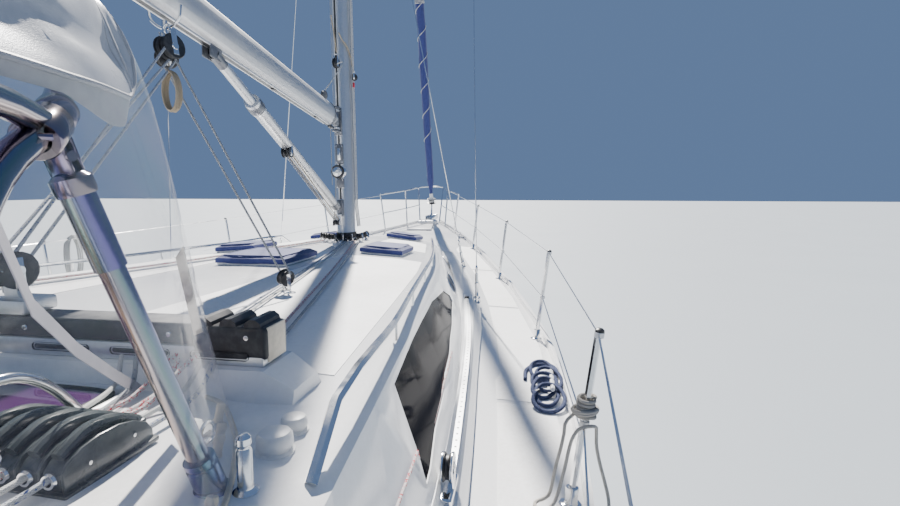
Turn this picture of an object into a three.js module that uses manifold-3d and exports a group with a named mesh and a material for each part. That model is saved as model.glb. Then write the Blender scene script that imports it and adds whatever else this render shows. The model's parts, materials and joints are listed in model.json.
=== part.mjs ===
// A cruising sloop with a raised coachroof, 12.9 m long. Millimetres. +X points to the bow, +Y to port, +Z up.
// The origin lies on the waterline, on the centreline, amidships.
import * as THREE from 'three';
import { mergeVertices } from 'three/addons/utils/BufferGeometryUtils.js';
import Module from 'manifold-3d';

const wasm = await Module();
wasm.setup();

// Driving dimensions
const gap = 0.5; // clearance between pieces that touch on the real boat
const deckThickness = 40;
const deckCamber = 45; // rise of the deck from its edge to the centreline
const wallThickness = 45; // coachroof walls
const sheerLow = { x: -2000, z: 1204 }; // lowest place of the deck edge
const sheerBow = { x: 6350, z: 1623 };
const mastStep = { x: 1640, z: 1800 };
const mastTop = 18250;
const mastRake = 0.017; // rise over run, leaning aft
const mastSection = { length: 255, width: 170 };
const boomSwing = THREE.MathUtils.degToRad(6); // the boom lies to starboard by this much
const boomRise = THREE.MathUtils.degToRad(4);
const boomLength = 4900;
const gooseneckZ = 2920;
const stanchionHeight = 620;
const stanchionLean = 0.12;
const wire = 5; // radius of a stay
const tubeRadius = 12.5; // radius of the deck's stainless tubes

// Hull sections, one row each: x, lowest z, half-beam at the turn, z of the turn, half-beam at the deck edge
const hullRows = [
  [-6450, 90, 1480, 430, 1660],
  [-5200, -190, 1690, 260, 1800],
  [-3900, -420, 1820, 160, 1920],
  [-2600, -540, 1900, 110, 2030],
  [-1300, -600, 1930, 90, 2095],
  [0, -610, 1850, 90, 2010],
  [1300, -580, 1640, 100, 1785],
  [2600, -500, 1310, 120, 1480],
  [3900, -370, 880, 150, 1105],
  [5200, -180, 410, 200, 645],
  [5900, -50, 150, 280, 325],
  [6250, 100, 35, 400, 150],
  [6450, 1250, 12, 1350, 45],
];
// Coachroof sections, one row each: x, half-width at its foot, half-width at the roof's edge, z of that edge, z on the centreline
const roofRows = [
  [-3000, 1670, 1545, 1815, 1850],
  [-2200, 1660, 1462, 1788, 1818],
  [-1100, 1590, 1338, 1745, 1784],
  [0, 1490, 1212, 1705, 1756],
  [1000, 1345, 1060, 1685, 1750],
  [2000, 1150, 870, 1655, 1735],
  [3000, 890, 630, 1590, 1668],
  [3700, 650, 385, 1510, 1565],
  [4150, 440, 205, 1440, 1468],
];

function sheerAt(x) {
  const along = Math.max(0, (x - sheerLow.x) / (sheerBow.x - sheerLow.x));
  return sheerLow.z + (sheerBow.z - sheerLow.z) * along * along;
}

// Smooth value of one column of a table at x.
function columnAt(rows, column, x) {
  const last = rows.length - 1;
  let i = 0;
  while (i < last - 1 && x > rows[i + 1][0]) i++;
  const slope = (k) => {
    const a = Math.max(0, k - 1);
    const b = Math.min(last, k + 1);
    return (rows[b][column] - rows[a][column]) / (rows[b][0] - rows[a][0]);
  };
  const span = rows[i + 1][0] - rows[i][0];
  const t = Math.min(1, Math.max(0, (x - rows[i][0]) / span));
  const t2 = t * t;
  const t3 = t2 * t;
  return rows[i][column] * (2 * t3 - 3 * t2 + 1) + slope(i) * span * (t3 - 2 * t2 + t)
    + rows[i + 1][column] * (3 * t2 - 2 * t3) + slope(i + 1) * span * (t3 - t2);
}

const deckHalf = (x) => columnAt(hullRows, 4, x);

function deckAt(x, y) {
  const across = y / deckHalf(x);
  return sheerAt(x) + deckCamber * (1 - across * across);
}

function roofAt(x, y) {
  const edge = columnAt(roofRows, 2, x);
  const across = Math.min(1, Math.abs(y) / edge);
  const edgeZ = columnAt(roofRows, 3, x);
  return edgeZ + (columnAt(roofRows, 4, x) - edgeZ) * (1 - across * across);
}

// Shapes
function geometryFrom(points, triangles) {
  const geometry = new THREE.BufferGeometry();
  geometry.setAttribute('position', new THREE.Float32BufferAttribute(points.flat(), 3));
  geometry.setIndex(triangles.flat());
  return geometry;
}

// A closed solid through rings of points that all have the same count; each ring runs the same way round.
function loft(rings) {
  const count = rings[0].length;
  const points = rings.flat();
  const triangles = [];
  const apart = (i, j) => Math.hypot(...points[i].map((v, k) => v - points[j][k]));
  for (let r = 0; r < rings.length - 1; r++) {
    for (let i = 0; i < count; i++) {
      const j = (i + 1) % count;
      const a = r * count + i;
      const b = r * count + j;
      // the shorter diagonal, so that both sides of a symmetrical ring are cut alike
      if (apart(a, b + count) <= apart(b, a + count)) triangles.push([a, b, b + count], [a, b + count, a + count]);
      else triangles.push([a, b, a + count], [b, b + count, a + count]);
    }
  }
  for (const [r, flip] of [[0, true], [rings.length - 1, false]]) {
    const centre = rings[r].reduce((sum, p) => sum.map((v, k) => v + p[k] / count), [0, 0, 0]);
    points.push(centre);
    const c = points.length - 1;
    for (let i = 0; i < count; i++) {
      const a = r * count + i;
      const b = r * count + ((i + 1) % count);
      triangles.push(flip ? [c, b, a] : [c, a, b]);
    }
  }
  return outward(geometryFrom(points, triangles));
}

function outward(geometry) {
  const p = geometry.getAttribute('position');
  const index = geometry.getIndex().array;
  const corner = (i) => new THREE.Vector3().fromBufferAttribute(p, index[i]);
  let volume = 0;
  for (let i = 0; i < index.length; i += 3) {
    volume += corner(i).dot(corner(i + 1).cross(corner(i + 2)));
  }
  if (volume < 0) {
    for (let i = 0; i < index.length; i += 3) [index[i], index[i + 1]] = [index[i + 1], index[i]];
  }
  return geometry;
}

function box(x0, x1, y0, y1, z0, z1) {
  return new THREE.BoxGeometry(x1 - x0, y1 - y0, z1 - z0)
    .translate((x0 + x1) / 2, (y0 + y1) / 2, (z0 + z1) / 2);
}

// A round bar from a to b.
function rod(a, b, radius, sides = 6) {
  const start = new THREE.Vector3(...a);
  const end = new THREE.Vector3(...b);
  const way = end.clone().sub(start);
  const turn = new THREE.Quaternion().setFromUnitVectors(new THREE.Vector3(0, 1, 0), way.clone().normalize());
  return new THREE.CylinderGeometry(radius, radius, way.length(), sides)
    .applyQuaternion(turn)
    .translate(...start.add(end).multiplyScalar(0.5).toArray());
}

// A bent tube through points.
function bent(points, radius, steps, sides = 6) {
  const path = new THREE.CatmullRomCurve3(points.map((p) => new THREE.Vector3(...p)), false, 'centripetal');
  const section = new THREE.Shape();
  for (let i = 0; i < sides; i++) {
    const a = (i / sides) * Math.PI * 2;
    section[i ? 'lineTo' : 'moveTo'](radius * Math.cos(a), radius * Math.sin(a));
  }
  section.closePath();
  return new THREE.ExtrudeGeometry(section, { steps, extrudePath: path });
}

// A turned shape about +Z at a place; the profile is [radius, height] pairs from axis to axis.
function turned(profile, x, y, z, sides = 20) {
  return new THREE.LatheGeometry(profile.map(([r, h]) => new THREE.Vector2(r, h)), sides)
    .rotateX(Math.PI / 2)
    .translate(x, y, z);
}

// A prism over a polygon of [x, z] pairs, from y0 to y1.
function sidePrism(polygon, y0, y1) {
  const shape = new THREE.Shape(polygon.map(([x, z]) => new THREE.Vector2(x, z)));
  return new THREE.ExtrudeGeometry(shape, { depth: y1 - y0, bevelEnabled: false })
    .rotateX(Math.PI / 2)
    .translate(0, y1, 0);
}

const mirrored = (geometry) => {
  const copy = geometry.clone();
  copy.scale(1, -1, 1);
  const index = copy.getIndex() ? copy : indexed(copy);
  const list = index.getIndex().array;
  for (let i = 0; i < list.length; i += 3) [list[i], list[i + 1]] = [list[i + 1], list[i]];
  return index;
};

function indexed(geometry) {
  const bare = geometry.clone();
  for (const name of ['normal', 'uv']) bare.deleteAttribute(name);
  return mergeVertices(bare, 1e-3);
}

// Solids, joined and cut
function solid(geometry) {
  const merged = indexed(geometry);
  return new wasm.Manifold(new wasm.Mesh({
    numProp: 3,
    vertProperties: new Float32Array(merged.getAttribute('position').array),
    triVerts: new Uint32Array(merged.getIndex().array),
  }));
}

const asSolid = (thing) => (thing.isBufferGeometry ? solid(thing) : thing);
const join = (...things) => things.map(asSolid).reduce((sum, next) => sum.add(next));
const cut = (from, ...things) => things.map(asSolid).reduce((rest, next) => rest.subtract(next), asSolid(from));

function geometryOf(thing) {
  if (thing.isBufferGeometry) return indexed(thing);
  const mesh = thing.getMesh();
  const stride = mesh.numProp;
  const points = [];
  for (let i = 0; i < mesh.vertProperties.length; i += stride) {
    points.push([mesh.vertProperties[i], mesh.vertProperties[i + 1], mesh.vertProperties[i + 2]]);
  }
  return geometryFrom(points, [Array.from(mesh.triVerts)]);
}

const group = new THREE.Group();

const finishes = {
  gelcoat: { color: 0xf2f3f1, roughness: 0.25, metalness: 0 },
  antifoul: { color: 0x1f2a44, roughness: 0.8, metalness: 0 },
  aluminium: { color: 0xc3c6c9, roughness: 0.4, metalness: 0.9 },
  steel: { color: 0xcfd2d4, roughness: 0.2, metalness: 1 },
  black: { color: 0x1d1e20, roughness: 0.5, metalness: 0 },
  tinted: { color: 0x191a1e, roughness: 0.08, metalness: 0 },
  navy: { color: 0x1b2450, roughness: 0.9, metalness: 0 },
  canvas: { color: 0xb9bdc2, roughness: 0.6, metalness: 0 },
  line: { color: 0xb9bfca, roughness: 0.9, metalness: 0 },
};

function add(name, thing, finish) {
  const mesh = new THREE.Mesh(geometryOf(thing), new THREE.MeshStandardMaterial(finishes[finish]));
  mesh.name = name;
  group.add(mesh);
}

// Adds the starboard piece as made and its mirror image to port.
function addPair(name, thing, finish) {
  const geometry = geometryOf(thing);
  add(`${name}_starboard`, geometry, finish);
  add(`${name}_port`, mirrored(geometry), finish);
}

// Hull
const hullStart = hullRows[0][0];
const hullEnd = hullRows[hullRows.length - 1][0];
const stationCount = 26;
const stations = Array.from({ length: stationCount + 1 }, (_, i) => {
  const t = i / stationCount;
  return hullStart + (hullEnd - hullStart) * (1 - (1 - t) * (1 - t) * 0.45 - (1 - t) * 0.55);
});

function hullRing(x, top) {
  const [low, turn, turnZ, edge] = [1, 2, 3, 4].map((c) => columnAt(hullRows, c, x));
  const side = [];
  const arcSteps = 6;
  for (let i = 0; i <= arcSteps; i++) {
    const a = (i / arcSteps) * (Math.PI / 2);
    side.push([turn * Math.sin(a) ** 0.8, turnZ + (low - turnZ) * Math.cos(a) ** 0.9]);
  }
  side.push([(turn + edge) / 2 + 12, (turnZ + top) / 2]);
  side.push([edge, top]);
  const starboard = side.slice(1).map(([y, z]) => [x, -y, z]);
  const port = side.slice(1).map(([y, z]) => [x, y, z]).reverse();
  return [[x, 0, side[0][1]], ...starboard, ...port];
}

const cockpit = { aft: -5700, front: -3060, seatHalf: 1080, seatZ: 1140, wellHalf: 430, wellZ: 720, wall: 45 };
const platform = { x: -5880, half: 420, z: 520 };
const cabin = { aft: -2850, front: 3000, floor: -250, inset: 320 };
const above = 2500; // higher than all that is cut away from above

const cabinRings = [cabin.aft, -1300, 600, 1900, cabin.front].map((x) => {
  const half = columnAt(hullRows, 2, x) - cabin.inset;
  return [[x, -half, cabin.floor], [x, half, cabin.floor], [x, half, above], [x, -half, above]];
});
// The tub's outer box, grown by some clearance, up to a height
const tubBox = (low, high, half, grow = 0) => box(cockpit.aft - cockpit.wall - grow, cockpit.front + cockpit.wall + grow,
  -half - cockpit.wall - grow, half + cockpit.wall + grow, low - cockpit.wall - grow, high);
const stepAstern = () => box(hullStart - 100, platform.x, -platform.half, platform.half, platform.z, above);
const rudderStock = { x: -5150, radius: 38, top: 250 };
const hullOuter = solid(loft(stations.map((x) => hullRing(x, sheerAt(x) - deckThickness - gap))));
add('hull', cut(
  hullOuter,
  rod([rudderStock.x, 0, -600], [rudderStock.x, 0, rudderStock.top + 12], rudderStock.radius + 6, 16),
  loft(cabinRings),
  tubBox(cockpit.wellZ, above, cockpit.seatHalf, 10),
  stepAstern(),
), 'gelcoat');

// Deck: a cambered plate with a ledge along the coachroof's foot
function deckRing(x) {
  const half = deckHalf(x) - 2;
  const steps = 8;
  const ring = [[x, half, sheerAt(x) - deckThickness], [x, -half, sheerAt(x) - deckThickness]];
  for (let i = 0; i <= steps; i++) {
    const y = half * (2 * (i / steps) - 1);
    ring.push([x, y, deckAt(x, y)]);
  }
  return ring;
}

function roofRing(x, inset, foot) {
  const [base, edge] = [1, 2].map((c) => columnAt(roofRows, c, x) - inset);
  const edgeZ = columnAt(roofRows, 3, x) - inset;
  const crown = columnAt(roofRows, 4, x) - inset - edgeZ;
  const round = 35;
  const ring = [[x, base, foot], [x, -base, foot], [x, -edge - round * 0.5, edgeZ - round]];
  for (const across of [-1, -0.75, -0.4, 0, 0.4, 0.75, 1]) {
    const y = across * (edge - round * 0.6);
    ring.push([x, y, edgeZ + crown * (1 - across * across) - (Math.abs(across) === 1 ? 8 : 0)]);
  }
  ring.push([x, edge + round * 0.5, edgeZ - round]);
  return ring;
}

const roofStart = roofRows[0][0];
const roofEnd = roofRows[roofRows.length - 1][0];
const roofStations = [-3000, -2600, -2200, -1650, -1100, -550, 0, 500, 1000, 1500, 2000, 2500, 3000, 3350, 3700, 3950, roofEnd];
const roofFoot = 1150;
const roofLoft = (inset, foot = roofFoot) => solid(loft(roofStations.map((x) => roofRing(x, inset, foot))));
const roofOuter = roofLoft(0);
const innerEnd = 3350;
const roofInner = solid(loft([roofStart + wallThickness, -2200, -1100, 0, 1000, 2000, 3000, innerEnd]
  .map((x) => roofRing(x, wallThickness, 900))));

// The ledge carries the genoa track and, where it widens, the chainplates
const ledge = { aft: -2700, front: 3100, low: 50, height: 95 };
const ledgeOut = (x) => 28 + 47 * THREE.MathUtils.smoothstep(x, -600, 700);
const ledgeOf = () => loft(Array.from({ length: 15 }, (_, i) => {
  const x = ledge.aft + (ledge.front - ledge.aft) * (i / 14);
  const foot = columnAt(roofRows, 1, x);
  const z = sheerAt(x);
  const out = ledgeOut(x);
  return [[x, -foot + 120, z - 20], [x, -foot - out, z - 20], [x, -foot - out + 5, z + ledge.low],
    [x, -foot + 26 - (out - 28) * 0.8, z + ledge.height], [x, -foot + 120, z + ledge.height + 8]];
}));

// Every point under the top of the deck plate, raised by the gap
const below = solid(loft(stations.map((x) => {
  const [, , ...top] = deckRing(x);
  const half = deckHalf(x) + 60;
  return [[x, half, 0], [x, -half, 0], [x, -half, top[0][2] + gap], ...top.map(([, y, z]) => [x, y, z + gap]),
    [x, half, top[0][2] + gap]];
})));
const deckPlate = join(loft(stations.map(deckRing)), cut(join(ledgeOf(), mirrored(ledgeOf())), below.translate([0, 0, -10])));
const deck = cut(deckPlate, roofInner, cut(roofLoft(-gap), below.translate([0, 0, -gap])), tubBox(cockpit.wellZ, above, cockpit.seatHalf, gap), stepAstern());
add('deck', deck, 'gelcoat');

// Coachroof, with low feet that carry the traveller on each side of the sliding hatch
const traveller = { x: -2240, half: 1250, width: 110, bottom: 1868, top: 1966 };
const travellerFoot = () => loft([-traveller.half - 70, -traveller.half, -520, -470].map((y, i) => {
  const atEnd = i === 0 || i === 3;
  const low = 1745;
  const top = traveller.bottom - gap - (atEnd ? 45 : 0);
  const reach = traveller.width / 2 + 20 - (atEnd ? 12 : 0);
  return [[traveller.x - reach - 30, y, low], [traveller.x + reach + 60, y, low], [traveller.x + reach, y, top],
    [traveller.x - reach, y, top]];
}));

// Side window in the coachroof, [x, z] corners
const windowOutline = [[-1990, 1424], [-1960, 1712], [-1500, 1702], [-620, 1655], [60, 1575], [300, 1490], [280, 1452], [-700, 1424]];
const companionway = { half: 360, aft: -3100, front: -2400, sill: 1300 };
const roofWithFeet = join(roofOuter, travellerFoot(), mirrored(travellerFoot()));
const coachroof = cut(
  roofWithFeet,
  below,
  roofInner,
  box(companionway.aft, companionway.front, -companionway.half, companionway.half, companionway.sill, above),
  sidePrism(windowOutline, -2200, 2200),
);
add('coachroof', coachroof, 'gelcoat');

// Cockpit moulding: coamings, helmsman's seat and tub. Coaming: x, outer y at its foot, outer y at its top, inner y, top z
const coamingRows = [
  [-3010, 1660, 1545, 1085, 1700],
  [-3700, 1590, 1450, 1085, 1560],
  [-4700, 1490, 1390, 1085, 1520],
  [-5700, 1390, 1305, 1085, 1500],
  [-5950, 1335, 1262, 1085, 1440],
];
const coamingOf = () => loft(coamingRows.map(([x, foot, top, inner, z]) => [
  [x, -inner, 1150], [x, -foot, 1150], [x, -foot, sheerAt(x)], [x, -top, z - 25], [x, -top + 30, z], [x, -inner, z],
]));
const helmSeat = { aft: -5950, half: 1085, top: 1440 };
const lip = 1300; // the tub's walls rise into the coamings
const cockpitTub = cut(
  join(
    cut(join(coamingOf(), mirrored(coamingOf()),
      box(helmSeat.aft, cockpit.aft + 10, -helmSeat.half, helmSeat.half, 1180, helmSeat.top)), below),
    tubBox(cockpit.seatZ, lip, cockpit.seatHalf),
    tubBox(cockpit.wellZ, lip, cockpit.wellHalf),
  ),
  box(cockpit.aft, cockpit.front, -cockpit.seatHalf, cockpit.seatHalf, cockpit.seatZ, above),
  box(cockpit.aft, cockpit.front, -cockpit.wellHalf, cockpit.wellHalf, cockpit.wellZ, above),
  stepAstern(),
);
add('cockpit', cockpitTub, 'gelcoat');
const topsides = join(deckPlate, roofWithFeet, cockpitTub);
// Trims a piece that stands on the boat's upper surfaces to those surfaces.
const seated = (thing, lift = gap) => cut(thing, topsides.translate([0, 0, lift]));

// Panes fill the window cuts, a hair smaller
const paneInset = 3;
const paneOutline = windowOutline.map(([x, z]) => {
  const middle = [-700, 1560];
  const away = Math.hypot(x - middle[0], z - middle[1]);
  return [x - ((x - middle[0]) / away) * paneInset * 2, z - ((z - middle[1]) / away) * paneInset];
});
const pane = roofLoft(4).intersect(solid(sidePrism(paneOutline, -2200, 0))).subtract(roofLoft(16, 900));
addPair('window', pane, 'tinted');

// Keel, rudder and drive
const underHull = hullOuter.translate([0, 0, -gap]);

// A foil section: chord from nose to tail along X, widest a third back
function foilRing(nose, tail, width, z, steps = 7) {
  const side = (sign) => Array.from({ length: steps - 1 }, (_, i) => {
    const t = (i + 1) / steps;
    return [nose + (tail - nose) * t, sign * width * 0.5 * Math.sin(Math.PI * t ** 0.6), z];
  });
  return [[nose, 0, z], ...side(-1), [tail, 0, z], ...side(1).reverse()];
}
const keelSole = -2000;
// z, nose x, tail x, width
const finRows = [[-300, 1080, -680, 230], [-1150, 860, -640, 190], [-1700, 740, -600, 170]];
const bulbRows = [[-1640, 1000, -720, 90], [-1760, 1180, -900, 330], [-1880, 1200, -960, 390], [keelSole, 1120, -900, 260]];
add('keel', cut(join(
  loft(finRows.map(([z, nose, tail, width]) => foilRing(nose, tail, width, z))),
  loft(bulbRows.map(([z, nose, tail, width]) => foilRing(nose, tail, width, z))),
), underHull), 'antifoul');

const bladeRows = [[-255, -4960, -5640, 110], [-900, -4990, -5590, 95], [-1480, -5030, -5500, 70], [-1560, -5090, -5440, 30]];
add('rudder', join(
  loft(bladeRows.map(([z, nose, tail, width]) => foilRing(nose, tail, width, z))),
  rod([rudderStock.x, 0, -400], [rudderStock.x, 0, rudderStock.top], rudderStock.radius, 16),
), 'antifoul');

const shaft = { x: -2560, z: -900 };
add('saildrive', cut(join(
  loft([[-430, -2150, -2480, 110], [-800, -2220, -2470, 90], [shaft.z, -2200, -2540, 100]]
    .map(([z, nose, tail, width]) => foilRing(nose, tail, width, z))),
  turned([[0, -200], [34, -150], [56, 0], [58, 180], [40, 330], [0, 390]], 0, 0, 0, 16)
    .rotateY(Math.PI / 2).translate(shaft.x + 190, 0, shaft.z),
), underHull), 'aluminium');

const bladeCount = 3;
const blades = Array.from({ length: bladeCount }, (_, i) => {
  const blade = loft([[40, 45, 8], [110, 80, 7], [180, 85, 6], [225, 30, 4]].map(([r, half, thick]) => {
    const twist = THREE.MathUtils.degToRad(55 - r * 0.14);
    return [[-half, -thick], [half, -thick], [half, thick], [-half, thick]].map(([u, v]) => [
      u * Math.cos(twist) * -1 + v * Math.sin(twist), u * Math.sin(twist) + v * Math.cos(twist), r]);
  }));
  return blade.rotateX((i / bladeCount) * Math.PI * 2).translate(shaft.x - 75, 0, shaft.z);
});
add('propeller', join(
  turned([[0, 0], [26, 0], [44, 40], [46, 110], [0, 110]], 0, 0, 0, 16)
    .rotateY(Math.PI / 2).translate(shaft.x - 130, 0, shaft.z),
  ...blades,
), 'aluminium');

// Toe rails with three cleats a side
const railX = { aft: -6380, front: 6180 };
const cleatPlaces = [-5700, -700, 4700];
function toeRail() {
  const rings = Array.from({ length: 25 }, (_, i) => {
    const x = railX.aft + (railX.front - railX.aft) * (i / 24);
    const outer = deckHalf(x) - 5;
    const inner = outer - 32;
    const z = deckAt(x, inner) - 8;
    return [[x, -inner, z], [x, -outer, z], [x, -outer + 3, z + 50], [x, -inner - 6, z + 50]];
  });
  const cleats = cleatPlaces.flatMap((x) => {
    const y = -(deckHalf(x) - 95);
    const z = deckAt(x, y) - 4;
    return [
      box(x - 70, x + 70, y - 64, y + 22, z, z + 14),
      box(x - 55, x - 33, y - 11, y + 11, z + 5, z + 50),
      box(x + 33, x + 55, y - 11, y + 11, z + 5, z + 50),
      rod([x - 135, y, z + 58], [x + 135, y, z + 58], 12),
    ];
  });
  return join(loft(rings), ...cleats);
}
const toeRailSolid = seated(toeRail(), 1);
addPair('toe_rail', toeRailSolid, 'gelcoat');

// Guard rails: stanchions that lean outboard, with two wires
const stanchionPlaces = [-3560, -1690, 160, 2070, 3800];
const footOf = (x) => {
  const y = -(deckHalf(x) - 85);
  return [x, y, deckAt(x, y) - 3];
};
const alongStanchion = (x, up) => {
  const [, y, z] = footOf(x);
  return [x, y - up * stanchionLean, z + up];
};
const wireHeights = [300, stanchionHeight - 12];
const pulpitAft = 5120;
const pushpitFront = -5250;
function guardRail() {
  const posts = stanchionPlaces.flatMap((x) => [
    turned([[0, 0], [42, 0], [40, 8], [18, 10], [17, 70], [0, 70]], ...footOf(x), 8),
    rod(alongStanchion(x, 20), alongStanchion(x, stanchionHeight), tubeRadius),
  ]);
  const ends = [pushpitFront + 25, ...stanchionPlaces, pulpitAft - 25];
  const wires = wireHeights.flatMap((up) => ends.slice(1).map((x, i) => (
    rod(alongStanchion(ends[i], up), alongStanchion(x, up), 3.5, 5))));
  return join(...posts, ...wires);
}
const guardRailSolid = seated(guardRail());
addPair('guard_rail', guardRailSolid, 'steel');

// Pulpit round the bow
const pulpitTop = (x) => alongStanchion(x, stanchionHeight + 10);
const foreTop = [6150, -235, pulpitTop(6150)[2]];
const bowRail = [pulpitTop(pulpitAft), pulpitTop(5400), pulpitTop(5750), foreTop];
const railNose = [6400, -110, foreTop[2] + 15];
const across = (p) => [p[0], -p[1], p[2]];
const legs = [[pulpitAft, pulpitTop(pulpitAft)], [5680, pulpitTop(5750)], [6020, foreTop]];
const halfWayUp = ([foot, top]) => footOf(foot).map((v, k) => (v + top[k]) / 2);
const pulpitSide = (flip) => {
  const side = flip ? across : (p) => p;
  return legs.flatMap(([foot, top]) => [
    rod(side(footOf(foot)), side(top), tubeRadius),
    turned([[0, 0], [38, 0], [38, 8], [0, 8]], ...side(footOf(foot)), 8),
  ]);
};
const middleRail = legs.map(halfWayUp);
add('pulpit', seated(join(
  bent([...bowRail, railNose, across(railNose), ...bowRail.map(across).reverse()], tubeRadius, 28),
  ...pulpitSide(false), ...pulpitSide(true),
  bent(middleRail, 9, 8), bent(middleRail.map(across), 9, 8),
)), 'steel');

// Pushpit in two halves, with a way through between them
const sternRail = [pulpitTop(pushpitFront), pulpitTop(-5900), [-6330, -1560, 1840], [-6360, -1200, 1840], [-6350, -520, 1835]];
function pushpit() {
  const posts = [
    [footOf(pushpitFront), pulpitTop(pushpitFront)],
    [[-6290, -1500, deckAt(-6290, 1500) + gap], [-6345, -1500, 1840]],
    [[-6290, -540, deckAt(-6290, 540) + gap], [-6350, -530, 1835]],
  ];
  const drop = (p) => [p[0], p[1] * 0.985, p[2] - 300];
  return join(
    bent(sternRail, tubeRadius, 16),
    bent(sternRail.map(drop), 9, 14),
    ...posts.map(([foot, top]) => rod(foot, top, tubeRadius)),
  );
}
addPair('pushpit', seated(pushpit()), 'steel');

// Mast, spreaders and masthead
const mastX = (z) => mastStep.x - (z - mastStep.z) * mastRake;
const mastFoot = roofAt(mastStep.x, 0) - 15;
function ovalRing(centre, along, up, halfLength, halfWidth, sides = 16) {
  return Array.from({ length: sides }, (_, i) => {
    const a = (i / sides) * Math.PI * 2;
    return [0, 1, 2].map((k) => centre[k] + along[k] * halfLength * Math.cos(a) + up[k] * halfWidth * Math.sin(a));
  });
}
const mastRing = (z, grow = 0) => ovalRing([mastX(z), 0, z], [1, 0, 0], [0, 1, 0],
  mastSection.length / 2 + grow, mastSection.width / 2 + grow);
// z of the root, reach outboard, sweep aft, rise of the tip
const spreaderRows = [[7300, 1290, 430, 60], [12700, 960, 340, 50]];
const spreaderTip = ([z, reach, sweep, rise]) => [mastX(z) - sweep, -reach, z + rise];
const spreaderOf = (row) => {
  const tip = spreaderTip(row);
  return loft([[[mastX(row[0]), -30, row[0]], 70, 16], [[tip[0], tip[1] + wire + 6, tip[2]], 40, 10]]
    .map(([c, half, thick]) => [[c[0] - half, c[1], c[2] - thick], [c[0] + half, c[1], c[2] - thick],
      [c[0] + half, c[1], c[2] + thick], [c[0] - half, c[1], c[2] + thick]]));
};
const gooseneck = { x: mastX(gooseneckZ) - mastSection.length / 2 - 75 };
const vangFoot = 2070;
const lugInMast = 90; // the brackets end this far abaft the mast's axis
add('mast', seated(join(
  loft([mastRing(mastFoot), mastRing(mastTop)]),
  loft([mastRing(mastFoot, 26), mastRing(mastFoot + 45, 18)]),
  ...spreaderRows.flatMap((row) => [spreaderOf(row), mirrored(spreaderOf(row))]),
  box(mastX(mastTop) - 330, mastX(mastTop) + 220, -42, 42, mastTop - 40, mastTop + 12),
  box(gooseneck.x - 22, mastX(gooseneckZ) - lugInMast, -20, 20, gooseneckZ - 92, gooseneckZ - 74),
  box(gooseneck.x - 22, mastX(gooseneckZ) - lugInMast, -20, 20, gooseneckZ + 74, gooseneckZ + 92),
  box(gooseneck.x - 22, mastX(vangFoot) - lugInMast, -18, 18, vangFoot - 70, vangFoot - 54),
)), 'aluminium');

// Boom and rigid vang, which swing together about the gooseneck
const boomWay = new THREE.Vector3(-Math.cos(boomSwing) * Math.cos(boomRise), -Math.sin(boomSwing) * Math.cos(boomRise),
  Math.sin(boomRise));
const boomSide = new THREE.Vector3(-Math.sin(boomSwing), Math.cos(boomSwing), 0);
const boomUp = new THREE.Vector3().crossVectors(boomSide, boomWay).normalize();
if (boomUp.z < 0) boomUp.negate();
const boomPoint = (along, up = 0, side = 0) => new THREE.Vector3(gooseneck.x, 0, gooseneckZ)
  .addScaledVector(boomWay, along).addScaledVector(boomUp, up).addScaledVector(boomSide, side).toArray();
const boomSection = { height: 200, width: 138 };
const boomRing = (along, scale = 1) => ovalRing(boomPoint(along), boomUp.toArray(), boomSide.toArray(),
  (boomSection.height / 2) * scale, (boomSection.width / 2) * scale);
const vangOnBoom = 2300;
const vangLow = boomPoint(0);
vangLow[2] = vangFoot;
const vangTop = boomPoint(vangOnBoom, -120);
const vangRadius = { tube: 42, rod: 28, collar: 47, pin: 14 };
const vangAt = (t) => vangLow.map((v, k) => v + (vangTop[k] - v) * t);
add('boom', join(
  loft([boomRing(95, 0.62), boomRing(225, 0.9), boomRing(235), boomRing(boomLength)]), // the casting, then the tube
  loft([boomRing(boomLength - 10, 1.05), boomRing(boomLength + 45, 1.02)]),
  rod(boomPoint(-6), boomPoint(110), 30, 10),
  rod([gooseneck.x, 0, gooseneckZ - 66], [gooseneck.x, 0, gooseneckZ + 66], 16, 12),
  rod(boomPoint(vangOnBoom, -130), boomPoint(vangOnBoom, -60), 14),
), 'aluminium');
add('vang', join(
  rod(vangAt(0.04), vangAt(0.78), vangRadius.tube, 14),
  rod(vangAt(0.7), vangAt(0.97), vangRadius.rod, 12),
  rod(vangAt(0.76), vangAt(0.81), vangRadius.collar, 14),
  rod(vangAt(0), vangAt(0.06), vangRadius.pin, 8),
), 'aluminium');

// Mainsheet: from the boom to the traveller's car, and a part to a block on the coachroof
const sheetOnBoom = 2700;
const carY = -520;
const deckBlock = [-1040, -672];
const deckBlockZ = roofAt(...deckBlock) + 60;
const sheetBlock = boomPoint(sheetOnBoom, -235);
const mainsheet = seated(join(
  rod(boomPoint(sheetOnBoom, -106), sheetBlock, 26, 10),
  rod([traveller.x, carY, traveller.top + 45], [traveller.x, carY, traveller.top + 120], 28, 10),
  rod([traveller.x, carY - 25, traveller.top + 90], [sheetBlock[0], sheetBlock[1] - 10, sheetBlock[2] - 10], 6, 6),
  rod([traveller.x, carY + 20, traveller.top + 100], [sheetBlock[0], sheetBlock[1] + 14, sheetBlock[2]], 6, 6),
  rod([deckBlock[0], deckBlock[1], deckBlockZ + 20], sheetBlock, 6, 6),
  rod([deckBlock[0], deckBlock[1], deckBlockZ - 65], [deckBlock[0], deckBlock[1], deckBlockZ + 50], 26, 10),
));
add('mainsheet', mainsheet, 'line');
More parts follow.
